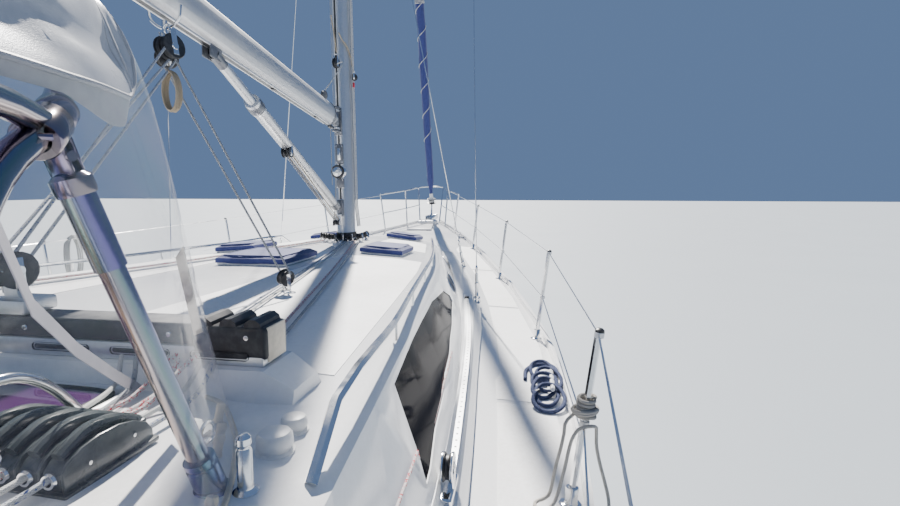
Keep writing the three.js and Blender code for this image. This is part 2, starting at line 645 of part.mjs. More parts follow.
add('traveller', join(
  box(traveller.x - 50, traveller.x + 50, -traveller.half, traveller.half, traveller.bottom, traveller.bottom + 40),
  box(traveller.x - 40, traveller.x + 40, -traveller.half + 90, traveller.half - 90, traveller.bottom + 30, traveller.top),
  ...[-1, 1].map((sign) => box(traveller.x - 55, traveller.x + 55, Math.min(sign * 1190, sign * traveller.half),
    Math.max(sign * 1190, sign * traveller.half), traveller.bottom + 20, traveller.top + 6)),
  box(traveller.x - 48, traveller.x + 48, carY - 80, carY + 80, traveller.top - 10, traveller.top + 38),
), 'black');

// Forestay with the furled headsail and its drum, which turn together
const stayFoot = [6235, 0, 1960];
const stayHead = [mastX(18100) + 215, 0, 18080];
const stayWay = new THREE.Vector3(...stayHead).sub(new THREE.Vector3(...stayFoot));
const stayLength = stayWay.length();
const furled = turned([[0, 0], [30, 0], [88, 12], [88, 20], [44, 26], [44, 78], [80, 84], [80, 92], [26, 100], [26, 260], [56, 420],
  [68, 2500], [64, 6000], [50, 11000], [30, stayLength - 620], [18, stayLength - 560], [18, stayLength - 60], [0, stayLength - 60]], 0, 0, 0, 14)
  .applyQuaternion(new THREE.Quaternion().setFromUnitVectors(new THREE.Vector3(0, 0, 1), stayWay.clone().normalize()))
  .translate(...stayFoot);
add('furled_headsail', furled, 'navy');

// Stem fitting with the bow roller; its tang holds the forestay
const stemZ = deckAt(6200, 0) - 4;
add('bow_roller', seated(join(
  box(5930, 6560, -62, 62, stemZ + 14, stemZ + 26),
  box(5930, 6560, -62, -54, stemZ + 14, stemZ + 96),
  box(5930, 6560, 54, 62, stemZ + 14, stemZ + 96),
  box(6000, 6160, -90, 90, stemZ, stemZ + 20),
  rod([6500, -60, stemZ + 62], [6500, 60, stemZ + 62], 30, 14),
  loft([[stemZ + 20, 60, 16], [1890, 24, 8], [1945, 20, 8]].map(([z, half, thick]) => {
    const x = z > 1800 ? 6240 : 6200;
    return [[x - half, -thick, z], [x + half, -thick, z], [x + half, thick, z], [x - half, thick, z]];
  })),
)), 'steel');

// Backstay, split above the stern
const splitZ = 6200;
const backHead = [mastX(18200) - 318, 0, 18195];
const backFeet = [-760, 760].map((y) => [-6270, y, deckAt(-6270, y) - 3]);
const splitT = (splitZ - 1250) / (18195 - 1250);
const split = [-6270 + (backHead[0] + 6270) * splitT, 0, splitZ];
add('backstay', seated(join(
  rod([backHead[0], 0, 18205 - 12], split, wire, 6),
  turned([[0, -40], [24, -20], [24, 20], [0, 40]], ...split, 8),
  ...backFeet.flatMap((foot) => [rod(foot, split, wire, 6), rod(foot, foot.map((v, k) => v + (split[k] - v) * 0.08), 14, 8)]),
)), 'steel');

// Shrouds
const onLedge = (x, y) => [x, y, sheerAt(x) + ledge.low + 12];
const capFoot = onLedge(860, -1418);
const forwardFoot = onLedge(2350, -1112);
const mastSideAt = (z, dx) => [mastX(z) + dx, -mastSection.width / 2 - 14, z];
function stay(points, footSize = 13) {
  const wires = points.slice(1).map((p, i) => rod(points[i], p, wire, 6));
  const [foot, next] = points;
  const far = new THREE.Vector3(...next).sub(new THREE.Vector3(...foot));
  const at = (d) => far.clone().setLength(d).add(new THREE.Vector3(...foot)).toArray();
  return [...wires, rod(at(0), at(250), footSize, 8)];
}
const chainplate = ([x, y, z]) => box(x - 24, x + 24, y - 10, y + 12, z - 40, z + 10);
const shroud = (...points) => seated(join(...stay(points), chainplate(points[0])));
addPair('shroud_cap', shroud(capFoot, ...spreaderRows.map(spreaderTip), mastSideAt(18000, -20)), 'steel');
addPair('shroud_forward', shroud(forwardFoot, mastSideAt(7150, 60)), 'steel');

// Handrails on the coachroof
const handrailFeet = [[-2520, -1486], [-1700, -1398], [-1080, -1314], [-350, -1220], [390, -1125], [1180, -985], [1960, -822]];
function handrail() {
  const up = 60;
  const top = handrailFeet.map(([x, y]) => [x, y, roofAt(x, y) + up]);
  const [aftFoot, frontFoot] = [handrailFeet[0], handrailFeet[handrailFeet.length - 1]];
  const first = [aftFoot[0] - 85, aftFoot[1] - 6, roofAt(...aftFoot) - 10];
  const last = [frontFoot[0] + 80, frontFoot[1] + 12, roofAt(...frontFoot) - 10];
  return join(
    bent([first, ...top, last], tubeRadius, 26),
    ...handrailFeet.slice(1, -1).map(([x, y]) => rod([x, y, roofAt(x, y) - 6], [x, y, roofAt(x, y) + up], 9, 5)),
  );
}
addPair('handrail', seated(handrail()), 'steel');

// Genoa tracks on the ledges, each with its car and block
const trackRows = Array.from({ length: 9 }, (_, i) => -2350 + i * 400);
const ledgeMiddle = (x) => -(columnAt(roofRows, 1, x) - 36);
function genoaTrack() {
  const car = { x: -1850, half: 80, wheel: 48 };
  const [y, z] = [ledgeMiddle(car.x) - 14, sheerAt(car.x) + ledge.height];
  return join(
    loft(trackRows.map((x) => {
      const yc = ledgeMiddle(x);
      const zt = sheerAt(x) + ledge.height - 12;
      return [[x, yc + 14, zt], [x, yc - 14, zt], [x, yc - 14, zt + 32], [x, yc + 14, zt + 32]];
    })),
    box(car.x - car.half, car.x + car.half, y - 26, y + 30, z + 8, z + 48),
    rod([car.x, y - 20, z + 100], [car.x, y + 16, z + 100], car.wheel, 14),
    box(car.x - 16, car.x + 16, y - 24, y + 20, z + 40, z + 100),
  );
}
addPair('genoa_track', seated(genoaTrack()), 'aluminium');

// Winches and rope clutches
const winchProfile = (r, h) => [[0, 0], [r, 0], [r, h * 0.18], [r * 0.66, h * 0.3], [r * 0.62, h * 0.72], [r * 0.86, h * 0.82],
  [r * 0.86, h * 0.94], [r * 0.5, h], [0, h]];
const roofWinch = [-2865, -1120];
addPair('roof_winch', seated(turned(winchProfile(66, 140), ...roofWinch, roofAt(...roofWinch) - 8, 18)), 'steel');
const primaryX = -4250;
addPair('primary_winch', seated(turned(winchProfile(92, 190), primaryX, -1240, 1530, 18)), 'steel');
const clutch = { x: -2620, y: -1070, length: 220, width: 320, height: 78 };
addPair('clutches', seated(loft([[-1, 30, 0], [-0.8, 60, 0], [0.2, clutch.height, 0], [0.9, 56, 0], [1, 26, 0]].map(([t, h]) => {
  const x = clutch.x + t * clutch.length / 2;
  const z = roofAt(x, clutch.y - clutch.width / 2) - 6;
  return [[x, clutch.y - clutch.width / 2, z], [x, clutch.y + clutch.width / 2, z],
    [x, clutch.y + clutch.width / 2 - 6, z + h], [x, clutch.y - clutch.width / 2 + 6, z + h]];
}))), 'black');

// Hatches: name, aft x, forward x, centre y, width, height of the lid
const hatchRows = [
  ['hatch_saloon', -215, 325, 0, 500, 62],
  ['hatch_middle_starboard', 660, 1080, -645, 360, 58],
  ['hatch_middle_port', 660, 1080, 645, 360, 58],
  ['hatch_forward_starboard', 2130, 2520, -440, 340, 60],
  ['hatch_forward_port', 2130, 2520, 440, 340, 60],
];
for (const [name, aft, front, y, width, height] of hatchRows) {
  const near = Math.max(0, Math.abs(y) - width / 2);
  const seat = (x) => roofAt(x, near) + 6;
  add(name, seated(loft([[aft, 0.55], [aft + 28, 1], [front - 28, 1], [front, 0.55]].map(([x, rise]) => {
    const half = width / 2;
    const z = seat(x);
    return [[x, y - half, z], [x, y + half, z], [x, y + half, z + height * 0.5 * rise], [x, y + half - 30, z + height * rise],
      [x, y - half + 30, z + height * rise], [x, y - half, z + height * 0.5 * rise]];
  })), 5), 'navy');
}
// The lid of the anchor locker lies on the foredeck
const locker = { aft: 5080, front: 5640, half: 210 };
add('locker_lid', seated(loft([locker.aft, locker.front].map((x, i) => {
  const half = locker.half - i * 70;
  const z = deckAt(x, 0) + 4;
  return [[x, -half, z], [x, half, z], [x, half, z + 20], [x, -half, z + 20]];
})), 5), 'gelcoat');

// Sliding hatch and washboard of the companionway
const slider = { aft: -3045, front: -2385, half: 400, lift: 10, thick: 20 };
const sliderZ = (x) => columnAt(roofRows, 4, x) + slider.lift;
add('companionway_hatch', seated(loft([slider.aft, slider.front].map((x) => {
  const z = sliderZ(x);
  return [[x, -slider.half, z], [x, slider.half, z], [x, slider.half, z + slider.thick], [x, -slider.half, z + slider.thick]];
})), 5), 'tinted');
add('washboard', seated(box(-3036, -3001, -395, 395, 1215, sliderZ(-3001) - 10)), 'tinted');

// Helm
const helm = { x: -4760, wheelX: -4930, z: 1600, radius: 475 };
add('helm_pedestal', join(
  loft([[cockpit.wellZ + gap, 130, 150], [900, 95, 110], [1500, 85, 100], [1640, 95, 150], [1700, 60, 130]].map(([z, halfX, halfY]) => [
    [helm.x - halfX, -halfY, z], [helm.x + halfX, -halfY, z], [helm.x + halfX, halfY, z], [helm.x - halfX, halfY, z]])),
  rod([helm.x - 60, 0, helm.z], [helm.wheelX + 45, 0, helm.z], 20, 12),
), 'gelcoat');
const rim = new THREE.TorusGeometry(helm.radius, 15, 6, 28).rotateY(Math.PI / 2).translate(helm.wheelX, 0, helm.z);
add('steering_wheel', join(
  rim,
  rod([helm.wheelX - 20, 0, helm.z], [helm.wheelX + 38, 0, helm.z], 55, 14),
  ...[0, 1, 2, 3, 4].map((i) => {
    const a = (i / 5) * Math.PI * 2 + Math.PI / 2;
    return rod([helm.wheelX, 0, helm.z], [helm.wheelX, helm.radius * Math.cos(a), helm.z + helm.radius * Math.sin(a)], 9, 5);
  }),
), 'steel');

// Spray hood, one arch a row: x at its foot, how far its top leans forward, half-width at its foot, how far the top draws in, top z
const hoodRows = [
  [-2350, 45, 1130, 40, 2560],
  [-2372, 60, 1175, 50, 2668],
  [-2420, 75, 1200, 60, 2705],
  [-2560, 30, 1290, 130, 2728],
  [-2780, 0, 1425, 235, 2742],
  [-3090, 0, 1470, 255, 2730],
];
const hoodFoot = 1815;
const archSteps = 16;
function archPoints([x, lean, half, draw, top], inset, foot = hoodFoot) {
  return Array.from({ length: archSteps + 1 }, (_, i) => {
    const a = Math.PI * (i / archSteps);
    const rise = Math.sin(a) ** 0.34;
    const side = Math.abs(Math.cos(a)) ** 0.4 * (half - draw * rise - inset);
    return [x + lean * rise, -Math.sign(Math.cos(a)) * side, foot + rise * (top - foot - inset)];
  });
}
const hoodWall = 10;
const hoodOuter = loft(hoodRows.map((row) => archPoints(row, 0)));
const shifted = ([x, ...rest], dx) => [x + dx, ...rest];
const hoodInner = loft([shifted(hoodRows[0], -hoodWall), ...hoodRows.slice(2), shifted(hoodRows[5], -120)]
  .map((row) => archPoints(row, hoodWall, hoodFoot - 60)));
// The sliding hatch passes under the hood's front
const hatchPassage = box(-2600, -2250, -slider.half - 12, slider.half + 12, 1700, sliderZ(-2600) + slider.thick + 12);
add('spray_hood', seated(cut(hoodOuter, hoodInner, hatchPassage)), 'canvas');
const bowInset = 58;
const [mainBow, aftBow] = [shifted(hoodRows[4], 0), shifted(hoodRows[5], 60)].map((row) => archPoints(row, bowInset));
const strut = (sign) => {
  const [a, b] = [mainBow, aftBow].map((bow) => bow.find((p) => p[2] > 2250));
  const end = a.map((v, k) => b[k] + (v - b[k]) * 0.09);
  return rod([a[0], sign * a[1], a[2]], [end[0], sign * end[1], end[2]], 11);
};
add('hood_bow_main', seated(join(bent(mainBow, tubeRadius, 28), strut(-1), strut(1))), 'steel');
add('hood_bow_aft', seated(bent(aftBow, tubeRadius, 28)), 'steel');

// Free ropes, each as the outer shape of its hank or as the tube along its run, clear of what it lies on
const ropeClearance = 1;
const clearOf = (thing, other) => cut(thing, other, ...[0, 1, 2].flatMap((axis) => [-ropeClearance, ropeClearance]
  .map((d) => other.translate([0, 1, 2].map((k) => (k === axis ? d : 0))))));
// Mooring rope laid over the starboard cleat amidships: x, half-width, height
const hankRows = [[-1110, 45, 34], [-1000, 80, 72], [-850, 88, 88], [-700, 86, 104], [-540, 78, 92], [-400, 60, 74], [-290, 34, 34]];
const hankY = -1950;
const hank = loft(hankRows.map(([x, half, height]) => {
  const z = deckAt(x, hankY) - 4;
  return [[x, hankY - half, z], [x, hankY + half, z], [x, hankY + half, z + height * 0.55], [x, hankY + half * 0.55, z + height],
    [x, hankY - half * 0.55, z + height], [x, hankY - half, z + height * 0.55]];
}));
add('mooring_hank', clearOf(seated(hank, 1), toeRailSolid), 'line');
// Tail of the mainsheet, coiled and hung from the block under the boom
const sheetCoil = { x: -1300, y: -318, z: 2690, reach: 96, half: 44, thick: 24 };
add('sheet_coil', clearOf(solid(new THREE.SphereGeometry(1, 14, 10).scale(sheetCoil.thick, sheetCoil.half, sheetCoil.reach)
  .translate(sheetCoil.x, sheetCoil.y, sheetCoil.z)), mainsheet), 'line');
// Rope hung in a coil on the port guard wires
const portCoil = { x: 390, y: 1946, z: 1688, reach: 212, half: 80, thick: 36 };
add('port_coil', clearOf(solid(new THREE.SphereGeometry(1, 14, 10).scale(portCoil.half, portCoil.thick, portCoil.reach)
  .translate(portCoil.x, portCoil.y, portCoil.z)), solid(mirrored(geometryOf(guardRailSolid)))), 'line');
// Rope hitched round a starboard stanchion, one end to the deck and one over the side
const [ropeX, ropeY, ropeZ] = footOf(stanchionPlaces[1]);
const hitch = { low: 262, high: 352, radius: 34 };
const ropeRadius = 10;
const beside = (up, dx, dy) => [ropeX + dx, ropeY - up * stanchionLean + dy, ropeZ + up];
add('stanchion_rope', clearOf(seated(join(
  rod(alongStanchion(ropeX, hitch.low), alongStanchion(ropeX, hitch.high), hitch.radius, 12),
  bent([beside(hitch.low + 20, -6, 22), beside(180, -34, 52), beside(90, -46, 66), beside(18, -52, 60)], ropeRadius, 10),
  bent([beside(hitch.low + 20, -2, -24), beside(180, -6, -52), beside(60, -8, -98), beside(-110, -6, -140)], ropeRadius, 10),
)), guardRailSolid), 'line');

export default group;
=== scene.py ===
import json
from math import atan, copysign, cos, exp, pi, radians, sin, tau

import bmesh
import bpy
from mathutils import Matrix, Vector, noise
from mathutils.bvhtree import BVHTree


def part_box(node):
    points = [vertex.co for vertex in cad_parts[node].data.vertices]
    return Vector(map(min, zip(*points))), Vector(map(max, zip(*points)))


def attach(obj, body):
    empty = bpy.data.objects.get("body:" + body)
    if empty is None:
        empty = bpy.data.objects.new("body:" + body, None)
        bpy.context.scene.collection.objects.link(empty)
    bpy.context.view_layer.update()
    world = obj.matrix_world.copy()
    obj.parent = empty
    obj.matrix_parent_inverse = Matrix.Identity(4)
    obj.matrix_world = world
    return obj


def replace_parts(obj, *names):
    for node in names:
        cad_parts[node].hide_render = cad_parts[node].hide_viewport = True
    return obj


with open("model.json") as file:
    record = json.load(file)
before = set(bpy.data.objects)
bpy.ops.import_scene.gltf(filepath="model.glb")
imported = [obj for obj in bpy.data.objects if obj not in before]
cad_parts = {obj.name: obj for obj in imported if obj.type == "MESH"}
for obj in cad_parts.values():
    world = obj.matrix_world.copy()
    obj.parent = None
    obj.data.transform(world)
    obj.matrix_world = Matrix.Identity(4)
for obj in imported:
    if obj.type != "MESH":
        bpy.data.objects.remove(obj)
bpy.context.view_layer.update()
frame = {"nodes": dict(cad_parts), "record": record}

cadNodes = frame["nodes"]
print("stage: frame loaded,", len(cadNodes), "solids")

view = {"place": (-3.37, -1.85, 2.29), "yaw": 8.88, "pitch": -7.42, "lens": 20.6}


def makeCamera():
    yaw, pitch = radians(view["yaw"]), radians(view["pitch"])
    ahead = Vector((cos(yaw) * cos(pitch), sin(yaw) * cos(pitch), sin(pitch)))
    data = bpy.data.cameras.new("deckCamera")
    data.lens = view["lens"]
    data.sensor_width = 36
    data.clip_start = 0.02
    data.clip_end = 500
    camera = bpy.data.objects.new("deckCamera", data)
    bpy.context.scene.collection.objects.link(camera)
    camera.location = view["place"]
    camera.rotation_euler = ahead.to_track_quat("-Z", "Y").to_euler()
    bpy.context.scene.camera = camera


light = {"sky": (0.34, 0.54, 1.0, 1), "skyStrength": 0.36, "sunWay": (-0.952, -0.305, -1.0),
    "sunStrength": 15.0}


def makeLights():
    world = bpy.data.worlds.new("studio")
    bpy.context.scene.world = world
    world.use_nodes = True
    back = world.node_tree.nodes["Background"]
    back.inputs["Color"].default_value = light["sky"]
    back.inputs["Strength"].default_value = light["skyStrength"]
    data = bpy.data.lights.new("sun", "SUN")  # from ahead and to port
    data.energy = light["sunStrength"]
    data.angle = radians(0.9)
    data.color = (1.0, 0.96, 0.90)
    lamp = bpy.data.objects.new("sun", data)
    bpy.context.scene.collection.objects.link(lamp)
    lamp.rotation_euler = Vector(light["sunWay"]).to_track_quat("-Z", "Y").to_euler()


makeCamera()
makeLights()


# Tools for modelling
def only(*objs):
    bpy.ops.object.select_all(action="DESELECT")
    for obj in objs:
        obj.select_set(True)
    bpy.context.view_layer.objects.active = objs[0]
    return objs[0]


def settle(obj):
    only(obj)
    bpy.ops.object.transform_apply(location=True, rotation=True, scale=True)
    return obj


def editing(obj, *steps):
    only(obj)
    bpy.ops.object.mode_set(mode="EDIT")
    bpy.ops.mesh.select_all(action="SELECT")
    for step in steps:
        step()
    bpy.ops.object.mode_set(mode="OBJECT")
    return obj


def pickFaces(test):
    obj = bpy.context.object
    bpy.ops.mesh.select_mode(type="FACE")
    mesh = bmesh.from_edit_mesh(obj.data)
    for face in mesh.faces:
        face.select_set(bool(test(face)))
    bmesh.update_edit_mesh(obj.data)


def outwards():
    bpy.ops.mesh.select_all(action="SELECT")
    bpy.ops.mesh.remove_doubles(threshold=0.00005)
    bpy.ops.mesh.normals_make_consistent(inside=False)


def modify(obj, kind, **values):
    only(obj)
    changer = obj.modifiers.new(kind.title(), kind)
    for name, value in values.items():
        setattr(changer, name, value)
    bpy.ops.object.modifier_apply(modifier=changer.name)
    return obj


def thicken(obj, thickness):
    modify(obj, "SOLIDIFY", thickness=thickness, offset=0)
    return editing(obj, outwards)


def meshOf(name, points, edges=(), faces=()):
    data = bpy.data.meshes.new(name)
    data.from_pydata([tuple(p) for p in points], list(edges), list(faces))
    obj = bpy.data.objects.new(name, data)
    bpy.context.scene.collection.objects.link(obj)
    return obj


def loft(name, points, count):
    # A closed skin through rings of count points each, with both ends filled.
    starts = range(0, len(points) - count, count)
    faces = [(s + i, s + (i + 1) % count, s + count + (i + 1) % count, s + count + i) for s in starts
        for i in range(count)]
    ends = [tuple(range(count)), tuple(reversed(range(len(points) - count, len(points))))]
    return editing(meshOf(name, points, (), faces + ends), outwards)


def toWay(way):
    return Vector(way).to_track_quat("Z", "Y").to_matrix().to_4x4()


def block(name, centre, size, bevel=0.003, turn=None, segments=2):
    bpy.ops.object.select_all(action="DESELECT")
    bpy.ops.mesh.primitive_cube_add(size=1, scale=size)
    obj = bpy.context.object
    obj.name = name
    settle(obj)
    if bevel:
        editing(obj, lambda: bpy.ops.mesh.bevel(offset=bevel, segments=segments, affect="EDGES"))
    obj.matrix_world = Matrix.Translation(centre) @ (turn or Matrix.Identity(4))
    return settle(obj)


def mm(*points):
    # Points of a profile or outline, given in millimetres.
    return [(a / 1000, b / 1000) for a, b in points]


def scaled(r, high, *points):
    # A profile given as shares of a radius and a height.
    return [(r * x, high * z) for x, z in points]


def turned(name, profile, centre=(0, 0, 0), way=(0, 0, 1), steps=24):
    obj = meshOf(name, [(r, 0, h) for r, h in profile], [(i, i + 1) for i in range(len(profile) - 1)])
    editing(obj, lambda: bpy.ops.mesh.spin(steps=steps, angle=tau, center=(0, 0, 0), axis=(0, 0, 1)),
        outwards)
    obj.matrix_world = Matrix.Translation(centre) @ toWay(way)
    return settle(obj)


def smoothLine(points, step=0.03):
    points = [Vector(p) for p in points]
    if len(points) == 2:
        return points
    ends = [points[0] * 2 - points[1], *points, points[-1] * 2 - points[-2]]
    line = []
    for a, b, c, d in zip(ends, ends[1:], ends[2:], ends[3:]):
        count = max(2, int((c - b).length / step))
        for i in range(count):
            t = i / count
            line.append(0.5 * (2 * b + (c - a) * t + (2 * a - 5 * b + 4 * c - d) * t * t
                + (3 * b - a - 3 * c + d) * t ** 3))
    return [*line, points[-1]]


def mirrored(points, sign):
    # The same points for sign 1, those of the other side of the boat for -1.
    return [Vector((p.x, sign * p.y, p.z)) for p in points]


def lineLength(points):
    return sum((Vector(b) - Vector(a)).length for a, b in zip(points, points[1:]))


def tube(name, points, radius, round=2, closed=False):
    curve = bpy.data.curves.new(name, "CURVE")
    curve.dimensions = "3D"
    curve.bevel_depth = radius
    curve.bevel_resolution = round
    curve.use_fill_caps = not closed
    strand = curve.splines.new("POLY")
    strand.points.add(len(points) - 1)
    for i, p in enumerate(points):
        strand.points[i].co = (*p, 1)
        strand.points[i].radius = 1
    strand.use_cyclic_u = closed
    obj = bpy.data.objects.new(name, curve)
    bpy.context.scene.collection.objects.link(obj)
    only(obj)
    bpy.ops.object.convert(target="MESH")
    obj = bpy.context.object
    longIs = lineLength(points)
    for corner in obj.data.uv_layers[0].data:  # the lay of a rope is in metres along it
        corner.uv = (corner.uv[0] * longIs, corner.uv[1] * tau * radius)
    return editing(obj, outwards)


def joined(name, *objs):
    only(*objs)
    if len(objs) > 1:
        bpy.ops.object.join()
    objs[0].name = name
    return objs[0]


def copyOf(obj, shift=(0, 0, 0), flip=False):
    twin = obj.copy()
    twin.data = obj.data.copy()
    bpy.context.scene.collection.objects.link(twin)
    twin.matrix_world = Matrix.Translation(shift) @ (Matrix.Scale(-1, 4, (0, 1, 0)) if flip
        else Matrix.Identity(4))
    settle(twin)
    if flip:
        editing(twin, lambda: bpy.ops.mesh.normals_make_consistent(inside=False))
    return twin


def finish(obj, material, body="boat", smooth=35):
    if obj.type == "MESH":
        only(obj)
        if smooth:
            bpy.ops.object.shade_smooth_by_angle(angle=radians(smooth))
    if material:
        obj.data.materials.clear()
        obj.data.materials.append(material)
    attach(obj, body)
    return obj


def pairOf(obj, material, smooth=35, node=None):
    # The piece and its mirror image; node is the stem of the two CAD nodes that they replace.
    twin = copyOf(obj, flip=True)
    twin.name = obj.name + "Port"
    for one, side in ((obj, "starboard"), (twin, "port")):
        finish(one, material, smooth=smooth)
        if node:
            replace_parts(one, f"{node}_{side}")


def treeOf(*names):
    points, faces = [], []
    for name in names:
        mesh = cadNodes[name].data
        start = len(points)
        points += [v.co.copy() for v in mesh.vertices]
        faces += [[start + i for i in f.vertices] for f in mesh.polygons]
    return BVHTree.FromPolygons(points, faces)


upperSides = treeOf("deck", "coachroof", "cockpit")
roofOnly = treeOf("coachroof")


def topAt(x, y, tree=upperSides):
    hit = tree.ray_cast(Vector((x, y, 2.15)), Vector((0, 0, -1)))
    return hit[0].z if hit[0] else 1.2


def skinOf(node, name, bevel=0):
    # Copy of a CAD node with its doubles merged, so that it shades smoothly.
    source = cadNodes[node]
    obj = meshOf(name, [v.co for v in source.data.vertices], (),
        [list(f.vertices) for f in source.data.polygons])
    editing(obj, lambda: bpy.ops.mesh.remove_doubles(threshold=0.00005),
        lambda: bpy.ops.mesh.tris_convert_to_quads(face_threshold=0.01, shape_threshold=0.7))
    if bevel:
        modify(obj, "BEVEL", width=bevel, segments=2, limit_method="ANGLE", angle_limit=radians(40))
    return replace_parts(obj, node)


# Finishes
def put(tree, kind, sockets=None, **settings):
    node = tree.nodes.new("ShaderNode" + kind)
    for name, value in settings.items():
        setattr(node, name, value)
    for name, value in (sockets or {}).items():
        if isinstance(value, bpy.types.NodeSocket):
            tree.links.new(value, node.inputs[name])
        else:
            node.inputs[name].default_value = value
    return node


def newGroup(name, inputs, outputs):
    group = bpy.data.node_groups.new(name, "ShaderNodeTree")
    for label, kind, value in inputs:
        socket = group.interface.new_socket(name=label, in_out="INPUT", socket_type="NodeSocket" + kind)
        if value is not None:
            socket.default_value = value
    for label, kind in outputs:
        group.interface.new_socket(name=label, in_out="OUTPUT", socket_type="NodeSocket" + kind)
    return group, group.nodes.new("NodeGroupInput").outputs, group.nodes.new("NodeGroupOutput").inputs


def weatherGroup():
    # Colour and roughness that drift over a surface, with runs of grime.
    group, given, gives = newGroup("weather", [("Colour", "Color", (0.8, 0.8, 0.8, 1)),
        ("Dirt", "Color", (0.5, 0.48, 0.44, 1)), ("Amount", "Float", 0.2), ("Scale", "Float", 3),
        ("Smooth", "Float", 0.2), ("Rough", "Float", 0.4)], [("Colour", "Color"), ("Roughness", "Float")])
    place = put(group, "TexCoord").outputs["Object"]
    wide = put(group, "TexNoise", {"Vector": place, "Scale": given["Scale"], "Detail": 6, "Roughness": 0.62})
    fine = put(group, "TexNoise", {"Vector": place, "Scale": 60, "Detail": 3})
    both = put(group, "Math", {0: wide.outputs["Fac"], 1: fine.outputs["Fac"], 2: 0}, operation="MULTIPLY")
    span = put(group, "MapRange", {"Value": both.outputs[0], "From Min": 0.2, "From Max": 0.36})
    part = put(group, "Math", {0: span.outputs[0], 1: given["Amount"]}, operation="MULTIPLY")
    mixed = put(group, "Mix", {"Factor": part.outputs[0], 6: given["Colour"], 7: given["Dirt"]},
        data_type="RGBA")
    rough = put(group, "MapRange", {"Value": wide.outputs["Fac"], "From Min": 0.3, "From Max": 0.7,
        "To Min": given["Smooth"], "To Max": given["Rough"]})
    group.links.new(mixed.outputs[2], gives["Colour"])
    group.links.new(rough.outputs[0], gives["Roughness"])
    return group


def grainGroup():
    group, given, gives = newGroup("grain", [("Scale", "Float", 300), ("Height", "Float", 0.0005),
        ("Stretch", "Vector", (1, 1, 1))], [("Normal", "Vector")])
    place = put(group, "TexCoord").outputs["Object"]
    drawn = put(group, "VectorMath", {0: place, 1: given["Stretch"]}, operation="MULTIPLY")
    grain = put(group, "TexNoise", {"Vector": drawn.outputs[0], "Scale": given["Scale"], "Detail": 2})
    bump = put(group, "Bump", {"Height": grain.outputs["Fac"], "Distance": given["Height"], "Strength": 0.6})
    group.links.new(bump.outputs[0], gives["Normal"])
    return group


def weaveGroup():
    # Plain weave along a vector in metres.
    group, given, gives = newGroup("weave", [("Vector", "Vector", None), ("Threads", "Float", 700),
        ("Height", "Float", 0.0003)], [("Normal", "Vector"), ("Mask", "Float")])
    waves = [put(group, "TexWave", {"Vector": given["Vector"], "Scale": given["Threads"],
        "Distortion": 0.6}, bands_direction=way).outputs["Fac"] for way in ("X", "Y")]
    both = put(group, "Math", {0: waves[0], 1: waves[1]}, operation="MULTIPLY")
    slub = put(group, "TexNoise", {"Vector": given["Vector"], "Scale": 25, "Detail": 5})
    # The mask rises at the raised thread crossings, a painted highlight, with slub noise for random tone.
    mask = put(group, "Math", {0: both.outputs[0], 1: 0.4, 2: slub.outputs["Fac"]}, operation="MULTIPLY_ADD")
    bump = put(group, "Bump", {"Height": both.outputs[0], "Distance": given["Height"], "Strength": 0.5})
    group.links.new(bump.outputs[0], gives["Normal"])
    group.links.new(mask.outputs[0], gives["Mask"])
    return group


def braidGroup():
    # Plaited strands round a rope; its vector is metres along and round it.
    group, given, gives = newGroup("braid", [("Lay", "Float", 120), ("Height", "Float", 0.002),
        ("Fleck", "Float", 0.5)], [("Normal", "Vector"), ("Fleck", "Float"), ("Groove", "Float")])
    place = put(group, "TexCoord").outputs["UV"]
    crossed = []
    for turn in (0.8, -0.8):
        laid = put(group, "Mapping", {"Vector": place, "Rotation": (0, 0, turn)}).outputs[0]
        crossed.append(put(group, "TexWave", {"Vector": laid, "Scale": given["Lay"],
            "Distortion": 0}).outputs["Fac"])
    plait = put(group, "Math", {0: crossed[0], 1: crossed[1]}, operation="MAXIMUM")
    bump = put(group, "Bump", {"Height": plait.outputs[0], "Distance": given["Height"], "Strength": 0.8})
    spots = put(group, "TexNoise", {"Vector": place, "Scale": 140, "Detail": 1})
    fleck = put(group, "Math", {0: spots.outputs["Fac"], 1: given["Fleck"]}, operation="GREATER_THAN")
    group.links.new(bump.outputs[0], gives["Normal"])
    group.links.new(fleck.outputs[0], gives["Fleck"])
    group.links.new(plait.outputs[0], gives["Groove"])
    return group


weather, grain, weave, braid = weatherGroup(), grainGroup(), weaveGroup(), braidGroup()


def newMaterial(name, **sockets):
    material = bpy.data.materials.new(name)
    material.use_nodes = True
    shader = material.node_tree.nodes["Principled BSDF"]
    for label, value in sockets.items():
        shader.inputs[label.replace("_", " ")].default_value = value
    return material, material.node_tree, shader


def hard(name, colour, dirt=None, amount=0.25, scale=3, rough=(0.2, 0.4), grainScale=250, height=0.0002,
        stretch=(1, 1, 1), **sockets):
    # A hard surface: weathered colour and a fine grain.
    material, tree, shader = newMaterial(name, **sockets)
    dirt = dirt or tuple(c * 0.72 for c in colour)
    worn = put(tree, "Group", {"Colour": (*colour, 1), "Dirt": (*dirt, 1), "Amount": amount, "Scale": scale,
        "Smooth": rough[0], "Rough": rough[1]}, node_tree=weather)
    tree.links.new(worn.outputs["Colour"], shader.inputs["Base Color"])
    tree.links.new(worn.outputs["Roughness"], shader.inputs["Roughness"])
    fine = put(tree, "Group", {"Scale": grainScale, "Height": height, "Stretch": stretch}, node_tree=grain)
    tree.links.new(fine.outputs["Normal"], shader.inputs["Normal"])
    return material


